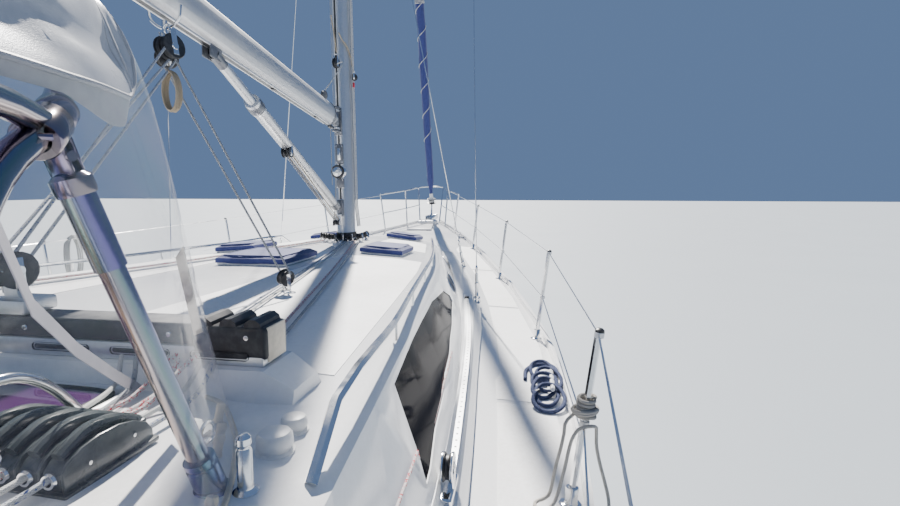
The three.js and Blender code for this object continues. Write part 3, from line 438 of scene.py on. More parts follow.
def rope(name, colour, fleck=None, share=0.62, lay=110, height=0.002):
    material, tree, shader = newMaterial(name, Roughness=0.85)
    laid = put(tree, "Group", {"Lay": lay, "Height": height, "Fleck": share}, node_tree=braid)
    # The grooves between the strands darken to 0.45 of the colour: painted shade.
    dark = put(tree, "Mix", {"Factor": laid.outputs["Groove"], 6: (*[c * 0.45 for c in colour], 1),
        7: (*colour, 1)}, data_type="RGBA")
    spotted = put(tree, "Mix", {"Factor": laid.outputs["Fleck"], 6: dark.outputs[2],
        7: (*(fleck or colour), 1)}, data_type="RGBA")
    tree.links.new(spotted.outputs[2], shader.inputs["Base Color"])
    tree.links.new(laid.outputs["Normal"], shader.inputs["Normal"])
    return material


def cloth(name, colour, fadeAndHighlight, threads=350, height=0.0003, useUv=True):
    material, tree, shader = newMaterial(name, Roughness=0.75, Sheen_Weight=0.3)
    place = put(tree, "TexCoord").outputs["UV" if useUv else "Object"]
    woven = put(tree, "Group", {"Vector": place, "Threads": threads, "Height": height}, node_tree=weave)
    # Raised thread crossings lean to the lighter second colour as a painted highlight; the slub noise adds
    # random tone.
    mixed = put(tree, "Mix", {"Factor": woven.outputs["Mask"], 6: (*colour, 1), 7: (*fadeAndHighlight, 1)},
        data_type="RGBA")
    tree.links.new(mixed.outputs[2], shader.inputs["Base Color"])
    tree.links.new(woven.outputs["Normal"], shader.inputs["Normal"])
    return material


hullWhite, bottomPaint = (0.86, 0.865, 0.87), (0.022, 0.035, 0.10)
gelcoat = hard("gelcoat", hullWhite, (0.70, 0.69, 0.66), 0.22, 1.6, (0.14, 0.3), 60, 0.0003,
    Coat_Weight=0.35, Coat_Roughness=0.06)
nonSlip = hard("nonSlip", (0.80, 0.805, 0.815), (0.62, 0.61, 0.58), 0.35, 2.2, (0.5, 0.7), 520, 0.0012)
anodised = hard("anodised", (0.70, 0.715, 0.73), (0.5, 0.5, 0.5), 0.3, 2, (0.3, 0.45), 200, 0.0002,
    (6, 6, 0.15), Metallic=0.85)
stainless = hard("stainless", (0.82, 0.83, 0.84), (0.55, 0.5, 0.44), 0.18, 9, (0.08, 0.22), 160, 0.0001,
    Metallic=1.0)
blackPlastic = hard("blackPlastic", (0.018, 0.019, 0.022), (0.07, 0.07, 0.075), 0.5, 12, (0.3, 0.5), 500,
    0.0002)
greyPlastic = hard("greyPlastic", (0.10, 0.105, 0.11), (0.2, 0.2, 0.2), 0.4, 12, (0.35, 0.55), 500, 0.0002)
whitePlastic = hard("whitePlastic", (0.84, 0.84, 0.83), (0.6, 0.58, 0.54), 0.3, 8, (0.3, 0.45), 300, 0.0002)
antifouling = hard("antifouling", bottomPaint, (0.05, 0.08, 0.12), 0.7, 2.5, (0.7, 0.9), 90, 0.001)
bronze = hard("bronze", (0.55, 0.36, 0.16), (0.2, 0.3, 0.24), 0.4, 14, (0.25, 0.5), 200, 0.0002, Metallic=1.0)
rubber = hard("rubber", (0.02, 0.02, 0.02), (0.08, 0.08, 0.08), 0.4, 10, (0.6, 0.8), 400, 0.0003)
leather = hard("leather", (0.055, 0.05, 0.048), (0.12, 0.11, 0.1), 0.5, 20, (0.45, 0.65), 300, 0.0008)
teak = hard("teak", (0.42, 0.28, 0.16), (0.28, 0.19, 0.11), 0.8, 5, (0.6, 0.8), 30, 0.0008, (1, 14, 14))
creamPlastic = hard("creamPlastic", (0.70, 0.62, 0.48), (0.5, 0.43, 0.33), 0.5, 18, (0.4, 0.6), 300, 0.0003)
tinted = hard("tintedAcrylic", (0.008, 0.008, 0.011), (0.014, 0.013, 0.016), 0.4, 3, (0.04, 0.10), 40,
    0.0001, Specular_IOR_Level=0.10, IOR=1.08)
purpleTint = hard("purpleAcrylic", (0.055, 0.018, 0.075), (0.08, 0.04, 0.10), 0.4, 4, (0.04, 0.12), 40,
    0.0001, Coat_Weight=0.6, Coat_Roughness=0.03)
navyCloth = cloth("navyCloth", (0.012, 0.018, 0.11), (0.03, 0.045, 0.20), 260, 0.0004, useUv=False)
blueLine = rope("blueFleckLine", (0.55, 0.58, 0.62), (0.05, 0.09, 0.30), 0.60)
greyLine = rope("greyLine", (0.42, 0.44, 0.47), (0.16, 0.18, 0.22), 0.62)
whiteLine = rope("whiteLine", (0.72, 0.72, 0.70), (0.66, 0.66, 0.64), 0.6)
redLine = rope("redFleckLine", (0.74, 0.70, 0.70), (0.55, 0.03, 0.05), 0.57)
tanLine = rope("tanLine", (0.50, 0.42, 0.30), (0.40, 0.32, 0.22), 0.6)
navyLine = rope("navyLine", (0.05, 0.07, 0.17), (0.09, 0.12, 0.24), 0.6, 55, 0.006)


def vinylMaterial():
    # Clear vinyl: thin, hazy at a glancing angle, with faint iridescent bands painted into its base colour as
    # a painted sheen.
    material, tree, shader = newMaterial("clearVinyl", Roughness=0.06, Coat_Weight=1.0, Coat_Roughness=0.03)
    place = put(tree, "TexCoord").outputs["Object"]
    bands = put(tree, "TexNoise", {"Vector": place, "Scale": 2.2, "Detail": 3, "Distortion": 1.5})
    # noise bands in pink, grey and green: painted iridescent sheen
    paintedReflectionTint = put(tree, "ValToRGB", {"Fac": bands.outputs["Fac"]})
    stops = paintedReflectionTint.color_ramp.elements
    stops[0].position, stops[0].color = 0.35, (0.70, 0.62, 0.80, 1)
    stops[1].position, stops[1].color = 0.65, (0.62, 0.78, 0.72, 1)
    middle = stops.new(0.5)
    middle.color = (0.80, 0.80, 0.80, 1)
    tree.links.new(paintedReflectionTint.outputs["Color"], shader.inputs["Base Color"])
    glance = put(tree, "LayerWeight", {"Blend": 0.35})
    scuffs = put(tree, "TexNoise", {"Vector": place, "Scale": 7, "Detail": 8, "Roughness": 0.75})
    haze = put(tree, "MapRange", {"Value": scuffs.outputs["Fac"], "From Min": 0.45, "From Max": 0.8,
        "To Min": 0.05, "To Max": 0.16})
    edge = put(tree, "MapRange", {"Value": glance.outputs["Facing"], "From Min": 0.3, "From Max": 1.0,
        "To Min": 0.0, "To Max": 0.45})
    alpha = put(tree, "Math", {0: haze.outputs[0], 1: edge.outputs[0]}, operation="ADD", use_clamp=True)
    tree.links.new(alpha.outputs[0], shader.inputs["Alpha"])
    ripple = put(tree, "TexNoise", {"Vector": place, "Scale": 3, "Detail": 1})
    bump = put(tree, "Bump", {"Height": ripple.outputs["Fac"], "Distance": 0.02, "Strength": 0.3})
    tree.links.new(bump.outputs[0], shader.inputs["Normal"])
    return material


def hullMaterial():
    # White topsides, a navy line above the water and antifouling below it.
    material, tree, shader = newMaterial("hullPaint", Coat_Weight=0.4, Coat_Roughness=0.05)
    worn = put(tree, "Group", {"Colour": (*hullWhite, 1), "Dirt": (0.72, 0.71, 0.66, 1), "Amount": 0.2,
        "Scale": 0.8, "Smooth": 0.12, "Rough": 0.24}, node_tree=weather)
    place = put(tree, "TexCoord").outputs["Object"]
    height = put(tree, "SeparateXYZ", {"Vector": place}).outputs["Z"]
    bands = put(tree, "ValToRGB", {"Fac": put(tree, "MapRange",
        {"Value": height, "From Min": -0.5, "From Max": 0.5}).outputs[0]})
    bands.color_ramp.interpolation = "CONSTANT"
    stops = bands.color_ramp.elements
    stops[0].position, stops[0].color = 0.0, (*bottomPaint, 1)
    stops[1].position, stops[1].color = 0.66, (1, 1, 1, 1)
    for at, colour in ((0.56, (1, 1, 1, 1)), (0.59, (0.02, 0.03, 0.14, 1))):
        stops.new(at).color = colour
    mixed = put(tree, "Mix", {"Factor": 1.0, 6: worn.outputs["Colour"], 7: bands.outputs["Color"]},
        data_type="RGBA", blend_type="MULTIPLY")
    tree.links.new(mixed.outputs[2], shader.inputs["Base Color"])
    dry = put(tree, "MapRange", {"Value": height, "From Min": 0.055, "From Max": 0.06, "To Min": 0.8,
        "To Max": 0.0})
    rough = put(tree, "Math", {0: worn.outputs["Roughness"], 1: dry.outputs[0]}, operation="ADD",
        use_clamp=True)
    tree.links.new(rough.outputs[0], shader.inputs["Roughness"])
    return material


clearVinyl, hullPaint = vinylMaterial(), hullMaterial()
print("stage: finishes made")


def makeFloor():
    bpy.ops.object.select_all(action="DESELECT")
    bpy.ops.mesh.primitive_plane_add(size=160)
    floor = bpy.context.object
    floor.name = "floor"
    floor.data.materials.append(hard("floorPaint", (0.34, 0.38, 0.42), (0.32, 0.36, 0.40), 0.2, 0.4,
        (0.6, 0.7), 20, 0.0))


makeFloor()

# Hull, deck, foils and spars keep their CAD shapes, with doubles merged and edges eased
skins = {"hull": ("topsides", hullPaint, 30, 0.0), "deck": ("deckMoulding", gelcoat, 25, 0.004),
    "coachroof": ("roofMoulding", gelcoat, 32, 0.010), "cockpit": ("cockpitMoulding", gelcoat, 32, 0.010),
    "keel": ("finKeel", antifouling, 30, 0), "rudder": ("rudderBlade", antifouling, 30, 0),
    "saildrive": ("driveLeg", greyPlastic, 30, 0), "propeller": ("propellerBlades", bronze, 30, 0.001),
    "mast": ("mastTube", anodised, 40, 0.002), "boom": ("boomTube", anodised, 40, 0.002),
    "vang": ("vangTubes", anodised, 40, 0.002), "helm_pedestal": ("pedestal", gelcoat, 30, 0.02),
    "steering_wheel": ("wheel", stainless, 40, 0), "bow_roller": ("bowRoller", stainless, 30, 0.002),
    "locker_lid": ("anchorLid", gelcoat, 30, 0.004), "companionway_hatch": ("slidingHatch", tinted, 30,
    0.006), "washboard": ("washboardPanel", tinted, 30, 0.003), "pulpit": ("bowPulpit", stainless, 40, 0),
    "backstay": ("backstayWire", stainless, 40, 0), "hood_bow_aft": ("hoodBowAft", stainless, 40, 0)}
for side in ("starboard", "port"):
    skins |= {f"toe_rail_{side}": (f"toeRail_{side}", gelcoat, 30, 0.004),
        f"guard_rail_{side}": (f"guardRail_{side}", stainless, 40, 0),
        f"pushpit_{side}": (f"sternRail_{side}", stainless, 40, 0),
        f"shroud_cap_{side}": (f"capShroud_{side}", stainless, 40, 0),
        f"shroud_forward_{side}": (f"lowerShroud_{side}", stainless, 40, 0),
        f"handrail_{side}": (f"roofRail_{side}", stainless, 45, 0),
        f"window_{side}": (f"sideWindow_{side}", tinted, 30, 0)}
bodyOf = {node: body for body, nodes in frame["record"]["behaviour"]["bodies"].items() for node in nodes}
for node, (name, material, angle, bevel) in skins.items():
    finish(skinOf(node, name, bevel=bevel), material, bodyOf[node], angle)
print("stage: mouldings and spars dressed")

# The spray hood: arch rows (x, lean, half-width, draw, top), canvas above the hem, clear vinyl below
hood = {"rows": [(-2.350, -0.225, 1.130, -0.040, 2.560), (-2.372, -0.225, 1.180, -0.025, 2.650),
    (-2.430, -0.195, 1.237, 0.032, 2.702), (-2.560, -0.090, 1.330, 0.152, 2.728),
    (-2.780, -0.010, 1.425, 0.215, 2.742), (-3.090, 0.0, 1.470, 0.240, 2.730)], "foot": 1.822,
    "hem": [2.660, 2.668, 2.500, 2.430, 2.428, 2.440], "start": 1.4, "low": 14, "seamAt": 2.75,
    "square": (0.21, 0.25), "steps": 60, "columns": 150, "roundColumns": 90, "valance": (18, 24),
    "pane": (18, 24, 2.553), "cutShare": 0.46, "lidGap": 0.014, "fineSteps": 400}


def rowAt(column, s):
    last = len(hood["rows"]) - 1
    i = min(int(s), last - 1)
    t = s - i
    rows = hood["rows"]
    if column == "hem":
        a, b = hood["hem"][i], hood["hem"][i + 1]
        return a + (b - a) * t
    p = [rows[max(0, min(last, k))][column] for k in (i - 1, i, i + 1, i + 2)]
    return 0.5 * (2 * p[1] + (p[2] - p[0]) * t + (2 * p[0] - 5 * p[1] + 4 * p[2] - p[3]) * t * t
        + (3 * p[1] - p[0] - 3 * p[2] + p[3]) * t ** 3)


def hoodPoint(s, angle):
    x, lean, half, draw, top = (rowAt(c, s) for c in range(5))
    up, out = hood["square"]
    rise = sin(angle) ** up if 0 < angle < pi else 0
    side = abs(cos(angle)) ** out * (half - draw * rise)
    return Vector((x + lean * rise, -copysign(side, cos(angle)), hood["foot"] + rise * (top - hood["foot"])))


def hemAngle(s):
    low, high = 0.0, pi / 2
    for _ in range(30):
        middle = (low + high) / 2
        low, high = (middle, high) if hoodPoint(s, middle).z < rowAt("hem", s) else (low, middle)
    return low


def archRow(s, start, end, count):
    # Evenly spaced points along a part of one arch.
    last = hood["fineSteps"]
    fine = [hoodPoint(s, start + (end - start) * (i / last)) for i in range(last + 1)]
    runs = [0.0]
    for a, b in zip(fine, fine[1:]):
        runs.append(runs[-1] + (b - a).length)
    picked, k = [], 0
    for i in range(count + 1):
        goal = runs[-1] * i / count
        while k < last - 1 and runs[k + 1] < goal:
            k += 1
        t = (goal - runs[k]) / max(1e-9, runs[k + 1] - runs[k])
        picked.append(fine[k].lerp(fine[k + 1], min(1, t)))
    return picked


def gridOf(name, rows):
    # A sheet through rows of points, with its own map in metres.
    count = len(rows[0])
    faces = [(r * count + i, (r + 1) * count + i, (r + 1) * count + i + 1, r * count + i + 1)
        for r in range(len(rows) - 1) for i in range(count - 1)]
    obj = meshOf(name, [p for row in rows for p in row], (), faces)
    across = [0.0]
    for a, b in zip(rows, rows[1:]):
        across.append(across[-1] + (b[count // 2] - a[count // 2]).length)
    along = [0.0]
    middle = rows[len(rows) // 2]
    for a, b in zip(middle, middle[1:]):
        along.append(along[-1] + (b - a).length)
    layer = obj.data.uv_layers.new(name="UVMap")
    for corner, spot in zip(obj.data.loops, layer.data):
        spot.uv = (along[corner.vertex_index % count], across[corner.vertex_index // count])
    return obj


def wrinkled(p, s):
    # Slack folds of the canvas that run fore and aft, gone at its bows and near the hem.
    slack = sin(pi * min(1, max(0, (s - hood["start"]) / (5 - hood["start"])))) ** 0.5
    held = min(1, max(0, (p.z - rowAt("hem", s)) / 0.06))
    seam = 1 - 0.85 * exp(-((s - hood["seamAt"]) / 0.12) ** 2)
    out = Vector((0, p.y * 0.8, max(0.05, p.z - 2.15))).normalized()
    pull = noise.noise(Vector((p.x * 3.1, p.y * 8.5, p.z * 11.0))) * 0.036
    crease = (0.35 - abs(noise.noise(Vector((p.x * 4.2 + p.z * 2, p.y * 10.0, p.z * 14))))) * 0.026
    return -out * (0.004 + slack * held * seam * max(-0.010, 0.010 + pull - crease))


hoodFrame = {"tube": 0.0170, "foot": (-2.660, -1.350), "knee": (-2.794, -1.274, 2.300),
    "clamp": (-2.827, -1.283, 2.362), "leg": [(-3.175, -1.495, 1.835), (-3.125, -1.462, 2.010),
    (-3.045, -1.398, 2.180), (-2.945, -1.338, 2.295), (-2.827, -1.283, 2.362), (-2.748, -1.222, 2.408)],
    "bowAt": 2.75, "railEnd": (-3.028, -1.398, 2.372), "archPoints": 30, "archFrom": 0.30, "legTop": 2.47}


def makeHoodBows():
    # Forward bow with its legs, the struts that carry it, clamps, side rails and deck sockets.
    f = hoodFrame
    r = f["tube"]
    legs = [Vector(q) for q in f["leg"]]
    arch = []
    for i in range(1, f["archPoints"]):
        angle = f["archFrom"] + (pi - 2 * f["archFrom"]) * i / f["archPoints"]
        q = hoodPoint(f["bowAt"], angle)
        arch.append(q + Vector((0, -q.y * 0.050, -0.040)))
    arch = [q for q in arch if q.z > f["legTop"]]
    line = [*legs, *arch, *mirrored(reversed(legs), -1)]
    parts = [tube("bow", smoothLine(line, 0.03), r, 5)]
    fittings = []
    for sign in (1, -1):
        def to(x, y, z):
            return Vector((x, sign * y, z))

        foot = to(*f["foot"], topAt(*f["foot"]) - 0.002)
        knee, clamp, rail = to(*f["knee"]), to(*f["clamp"]), to(*f["railEnd"])
        way = (knee - foot).normalized()
        parts.append(tube("strut", [foot + way * 0.02, knee - way * 0.02], r, 5))
        parts.append(tube("sleeve", [knee - way * 0.125, knee - way * 0.012], r + 0.0035, 5))
        parts.append(tube("rail", [clamp, clamp.lerp(rail, 0.5) + Vector((0, 0, 0.004)), rail], r * 0.94, 5))
        fittings.append(turned("cap", mm((0, -18), (23, -18), (24.5, -12), (24.5, 4), (18, 10), (0, 10)),
            knee - way * 0.004, way, 30))
        jaw = (clamp - knee).normalized()
        hold = knee.lerp(clamp, 0.42)
        for side in (-1, 1):
            fittings.append(block("jaw", hold, (0.030, 0.006, 0.052), 0.004,
                toWay(jaw) @ Matrix.Translation((0, side * 0.010, 0))))
        fittings.append(tube("jawPin", [hold + Vector((-0.006, sign * -0.022, 0)),
            hold + Vector((0.006, sign * 0.020, 0))], 0.0065, 3))
        along = (to(*f["leg"][5]) - to(*f["leg"][3])).normalized()
        for start, end, out in ((-0.050, 0.010, 0.0085), (0.012, 0.050, 0.0065)):
            shell = [(r * 0.9, start), (r + out - 0.002, start), (r + out, start + 0.003),
                (r + out, end - 0.003), (r + out - 0.002, end), (r * 0.9, end), (r * 0.9, start)]
            fittings.append(turned("clampShell", shell, clamp, along, 36))
        for d in (-0.034, -0.006):
            spot = clamp + along * d
            ends = [spot + Vector((-0.026, sign * -0.018, -0.004)),
                spot + Vector((-0.012, sign * -0.030, -0.004))]
            fittings.append(tube("clampScrew", ends, 0.0042, 2))
        fittings.append(turned("socket", mm((0, 0), (24.5, 0), (24.5, 50), (21.5, 52), (21.5, 56),
            (24.5, 58), (24, 66), (0, 67)), foot, way, 36))
        fittings.append(turned("socketPlate", mm((0, -4), (31, -4), (32, 2), (28, 5), (0, 5)), foot,
            steps=36))
        fittings.append(turned("legSocket", mm((0, -10), (36, -10), (37, -5), (24, 2), (22, 45), (0, 46)),
            to(*f["leg"][0]), to(*f["leg"][1]) - to(*f["leg"][0]), 30))
    bows = finish(joined("hoodBowMain", *parts), bowSteel, smooth=50)
    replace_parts(bows, "hood_bow_main")
    finish(joined("hoodFittings", *fittings), clampSteel)
    # tensioning straps inside and the end posts of the windscreen base
    for sign, side in ((1, ""), (-1, "Port")):
        strap = [(-2.905, -1.275, 2.322), (-2.86, -1.235, 2.245), (-2.76, -1.160, 2.120),
            (-2.62, -1.080, 2.010), (-2.46, -1.000, 1.900), (-2.335, -0.950, topAt(-2.335, -0.95) + 0.004)]
        rows = [Vector(a).lerp(Vector(b), k / 4) for a, b in zip(strap, strap[1:]) for k in range(4)]
        rows.append(Vector(strap[-1]))
        wide = Vector((0.25, 0.10, 0.96)).normalized() * 0.0125
        ribbon = gridOf("hoodStrap" + side, [mirrored([q + wide * k for k in (-1, 0, 1)], sign)
            for q in rows])
        finish(thicken(ribbon, 0.0018), webbing)
    z = topAt(-2.655, -1.405)
    post = turned("hoodPost", mm((0, -4), (20, -4), (21, 2), (13.5, 8), (12.5, 12), (12.5, 72), (10.5, 75),
        (10.5, 79), (12.5, 82), (12, 92), (7, 98), (0, 99)), (-2.655, -1.405, z), steps=32)
    pairOf(post, stainless)


def makeHood():
    count, columns = hood["steps"], hood["columns"]
    steps = [hood["start"] + (5 - hood["start"]) * i / count for i in range(count + 1)]
    rows = [[p + wrinkled(p, s) for p in archRow(s, hemAngle(s), pi - hemAngle(s), columns)] for s in steps]
    canvas = gridOf("hoodCanvas", rows)
    modify(canvas, "SOLIDIFY", thickness=0.0025, offset=-1)
    finish(canvas, silverVinyl, smooth=70)
    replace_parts(canvas, "spray_hood")
    edges = []  # piping of the hem, the front edge and the seam
    for name, line, radius in (("hemStarboard", [row[0] for row in rows], 0.0045),
            ("hemPort", [row[-1] for row in rows], 0.0045), ("frontEdge", rows[0], 0.0045),
            ("aftEdge", rows[-1], 0.0050)):
        edges.append(tube(name, line, radius, 2))
    k = min(range(count + 1), key=lambda i: abs(steps[i] - hood["seamAt"]))
    for shift in (0, 2):
        edges.append(tube("seam", [p + Vector((0, p.y * 0.001, 0.0015)) for p in rows[k + shift]], 0.0022, 1))
    piping = finish(joined("hoodPiping", *edges), greyVinyl)
    for sign, side in ((0, ""), (-1, "Port")):  # a valance hangs below the hem at each side
        band = []
        first, run = hood["valance"]
        for i in range(first, count + 1):
            p = rows[i][sign]
            drop = 0.020 + 0.028 * sin(pi * min(1, max(0, (i - first - 1) / run)))
            band.append([p + Vector((0, -p.y * 0.003, 0.008)), p + Vector((0, -p.y * 0.006, -drop * 0.5)),
                p + Vector((0.0, -p.y * 0.010, -drop))])
        flap = gridOf("hoodValance" + side, band)
        finish(thicken(flap, 0.0022), greyVinyl, smooth=60)
    clear = []
    for side in (0, 1):
        rows = []
        for s in steps[::2]:
            edge = hemAngle(s)
            row = archRow(s, 0, edge, hood["low"])
            rows.append(mirrored(row, -1) if side else row)
        clear.append(gridOf("clearSide", rows))
    front = [archRow(hood["start"] * i / 8, 0, pi, hood["roundColumns"]) for i in range(9)]
    clear.append(gridOf("clearRound", front))
    brow = front[0][:hood["roundColumns"] // 2 + 1]  # the front pane closes the first arch
    rows = []
    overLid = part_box("companionway_hatch")[1][2] + hood["lidGap"]
    high, wide, top = hood["pane"]
    for k in range(high + 1):  # its foot is cut out over the path of the sliding hatch
        row = []
        for i in range(wide + 1):
            inside = abs(1 - 2 * i / wide) < hood["cutShare"]
            low = overLid if inside else hood["foot"]
            z = low + (top - low) * k / high
            left = min(brow, key=lambda p: abs(p.z - z))
            row.append(Vector((left.x + 0.012 * sin(pi * i / wide), left.y * (1 - 2 * i / wide), z)))
        rows.append(row)
    clear.append(gridOf("clearFront", rows))
    panes = joined("hoodWindows", *clear)
    editing(panes, lambda: bpy.ops.mesh.remove_doubles(threshold=0.002))
    finish(panes, clearVinyl)
    # cream binding with toggles along the foot of the clear sides
    bound, toggles = [], []
    for sign in (1, -1):
        foot = [hoodPoint(s, 0.0) for s in [i * 0.125 for i in range(41)]]
        line = [Vector((p.x, sign * p.y, topAt(p.x, p.y) + 0.010)) for p in foot]
        bound.append(tube("binding", smoothLine(line, 0.03), 0.0055, 2))
        for x, y in ((-2.575, -1.300), (-2.530, -1.275), (-2.450, -1.222), (-2.75, -1.40), (-2.90, -1.445)):
            z = topAt(x, y)
            toggles.append(turned("toggle", mm((0, 0), (10, 0), (10.5, 4), (8.5, 8), (8.5, 26), (10, 30),
                (8, 38), (0, 40)), (x, sign * y, z + 0.004), (0.35, sign * -0.1, 1), 20))
    for sign in (1, -1):  # a wider band of it stands on the front corner
        band = [[hoodPoint(s, a) + Vector((0.003, -0.003, 0)) for s in (0.0, 0.30, 0.62)]
            for a in [0.0005 * 1.45 ** i for i in range(11)]]
        ribbon = gridOf("bindingBand", [mirrored(row, sign) for row in band if row[0].z < 2.16])
        bound.append(thicken(ribbon, 0.0025))
    finish(joined("hoodBinding", *bound), creamPlastic)
    finish(joined("hoodToggles", *toggles), creamPlastic)


def tubeSteel(name, along, scale, reflectedColours):
    # Polished steel with painted reflections: stripes round it in the soft hues that clear vinyl throws on
    # it, laid over dark base colours that are painted shade.
    material, tree, shader = newMaterial(name, Metallic=1.0, Roughness=0.17)
    place = put(tree, "TexCoord").outputs[along]
    drift = put(tree, "TexNoise", {"Vector": place, "Scale": 3.0 if along == "UV" else 9.0, "Detail": 1})
    across = put(tree, "SeparateXYZ", {"Vector": place}).outputs["Y"]
    turnOf = put(tree, "Math", {0: across, 1: scale}, operation="MULTIPLY")
    mixed = put(tree, "Math", {0: turnOf.outputs[0], 1: drift.outputs["Fac"]}, operation="ADD")
    wave = put(tree, "Math", {0: mixed.outputs[0]}, operation="SINE")
    level = put(tree, "MapRange", {"Value": wave.outputs[0], "From Min": -1.0, "From Max": 1.0})
    paintedReflectionTint = put(tree, "ValToRGB", {"Fac": level.outputs[0]})
    stops = paintedReflectionTint.color_ramp.elements
    stops[0].position, stops[0].color = 0.0, (*reflectedColours[0], 1)
    stops[1].position, stops[1].color = 1.0, (*reflectedColours[3], 1)
    for at, colour in ((0.35, reflectedColours[1]), (0.68, reflectedColours[2])):
        stops.new(at).color = (*colour, 1)
    tree.links.new(paintedReflectionTint.outputs["Color"], shader.inputs["Base Color"])
    return material


silverVinyl = hard("silverVinyl", (0.47, 0.49, 0.53), (0.36, 0.38, 0.42), 0.5, 4, (0.26, 0.42), 700, 0.0005,
    Metallic=0.25, Sheen_Weight=0.15)
greyVinyl = hard("greyVinyl", (0.33, 0.34, 0.37), (0.26, 0.27, 0.30), 0.5, 6, (0.4, 0.55), 700, 0.0005)
webbing = cloth("webbing", (0.30, 0.29, 0.34), (0.40, 0.39, 0.45), 420, 0.0004)
# Painted reflections and painted shade in the hues of the hood's bow and clamps
bowSteel = tubeSteel("bowSteel", "UV", 62.0, [(0.36, 0.26, 0.22), (0.36, 0.34, 0.36), (0.18, 0.27, 0.26),
    (0.16, 0.14, 0.34)])
clampSteel = tubeSteel("clampSteel", "Object", 40.0, [(0.30, 0.25, 0.24), (0.15, 0.15, 0.36),
    (0.12, 0.26, 0.24), (0.10, 0.10, 0.34)])
makeHood()
makeHoodBows()
print("stage: spray hood")

# Mast and boom lines of the rig, repeated from the CAD in metres
rig = {"stepX": 1.64, "stepZ": 1.8, "rake": 0.017, "mastLong": 0.255, "mastWide": 0.170, "swing": 6,
    "rise": 4, "gooseneckZ": 2.92, "toGooseneck": 0.075, "boomHigh": 0.200, "boomWide": 0.138,
    "boomLength": 4.9, "vangFoot": 2.07, "vangOnBoom": 2.3, "sheetOnBoom": 2.70, "mastTop": 18.25}


def mastX(z):
    return rig["stepX"] - (z - rig["stepZ"]) * rig["rake"]


gooseneck = Vector((mastX(rig["gooseneckZ"]) - rig["mastLong"] / 2 - rig["toGooseneck"], 0,
    rig["gooseneckZ"]))
swing, rise = radians(rig["swing"]), radians(rig["rise"])
boomWay = Vector((-cos(swing) * cos(rise), -sin(swing) * cos(rise), sin(rise)))
boomSide = Vector((-sin(swing), cos(swing), 0))
boomUp = boomWay.cross(boomSide).normalized()
boomUp = boomUp if boomUp.z > 0 else -boomUp
boomTurn = Matrix((boomWay, boomSide, boomUp)).transposed().to_4x4()  # block's x along the boom, z up


def boomPoint(along, up=0, side=0):
    return gooseneck + boomWay * along + boomUp * up + boomSide * side


def overTop(points, lift):
    # A line that lies on the deck or roof, raised by lift.
    step = 0.06
    line = smoothLine([Vector((x, y, 0)) for x, y in points], step)
    if len(line) == 2:
        count = max(2, int((line[1] - line[0]).length / step))
        line = [line[0].lerp(line[1], i / count) for i in range(count + 1)]
    return [Vector((p.x, p.y, topAt(p.x, p.y) + lift)) for p in line]


def pulley(name, centre, way, axis, radius, wide=0.030, sheaves=1):
    # A ball-bearing block: cheeks, sheaves, straps and shackle.
    # way points to its shackle, axis along its pin.
    way, axis = Vector(way).normalized(), Vector(axis).normalized()
    axis = (axis - way * axis.dot(way)).normalized()
    frameOf = Matrix((axis.cross(way).normalized(), axis, way)).transposed().to_4x4()
    parts, metal = [], []
    for k in range(sheaves):
        y = (k - (sheaves - 1) / 2) * wide
        parts.append(turned("sheave", scaled(radius, wide, (0, -0.3), (0.98, -0.3), (0.8, -0.12),
            (0.8, 0.12), (0.98, 0.3), (0, 0.3)), (0, y, 0), (0, 1, 0), 20))
    half = wide * sheaves / 2 + 0.002
    for sign in (-1, 1):
        parts.append(turned("cheek", [(0, -.002), (radius * 1.05, -.002), (radius * 1.1, 0),
            (radius * 1.02, .003), (radius * .5, .004), (0, .004)], (0, sign * half, 0), (0, sign, 0), 20))
        metal.append(block("strap", (0, sign * (half + 0.004), radius * .35),
            (radius * .55, 0.003, radius * 2.2), 0.001))
        metal.append(turned("hub", [(0, 0), (radius * .34, 0), (radius * .3, .004), (0, .005)],
            (0, sign * (half + 0.004), 0), (0, sign, 0), 14))
    metal.append(tube("shackle", smoothLine([(0, -0.012, radius * 1.2), (0, -0.018, radius * 1.6),
        (0, 0, radius * 1.95), (0, 0.018, radius * 1.6), (0, 0.012, radius * 1.2)], 0.006), 0.0045))
    body, trim = joined(name, *parts), joined(name + "Metal", *metal)
    for piece in (body, trim):
        piece.matrix_world = Matrix.Translation(centre) @ frameOf
        settle(piece)
    return body, trim


def fitBlock(name, *args, body="boat", **words):
    shell, trim = pulley(name, *args, **words)
    finish(shell, blackPlastic, body)
    finish(trim, stainless, body)


def straightLine(name, a, b, radius, material, body="boat"):
    a, b = Vector(a), Vector(b)
    count = max(2, int((b - a).length / 0.25))
    return finish(tube(name, [a.lerp(b, i / count) for i in range(count + 1)], radius), material, body)


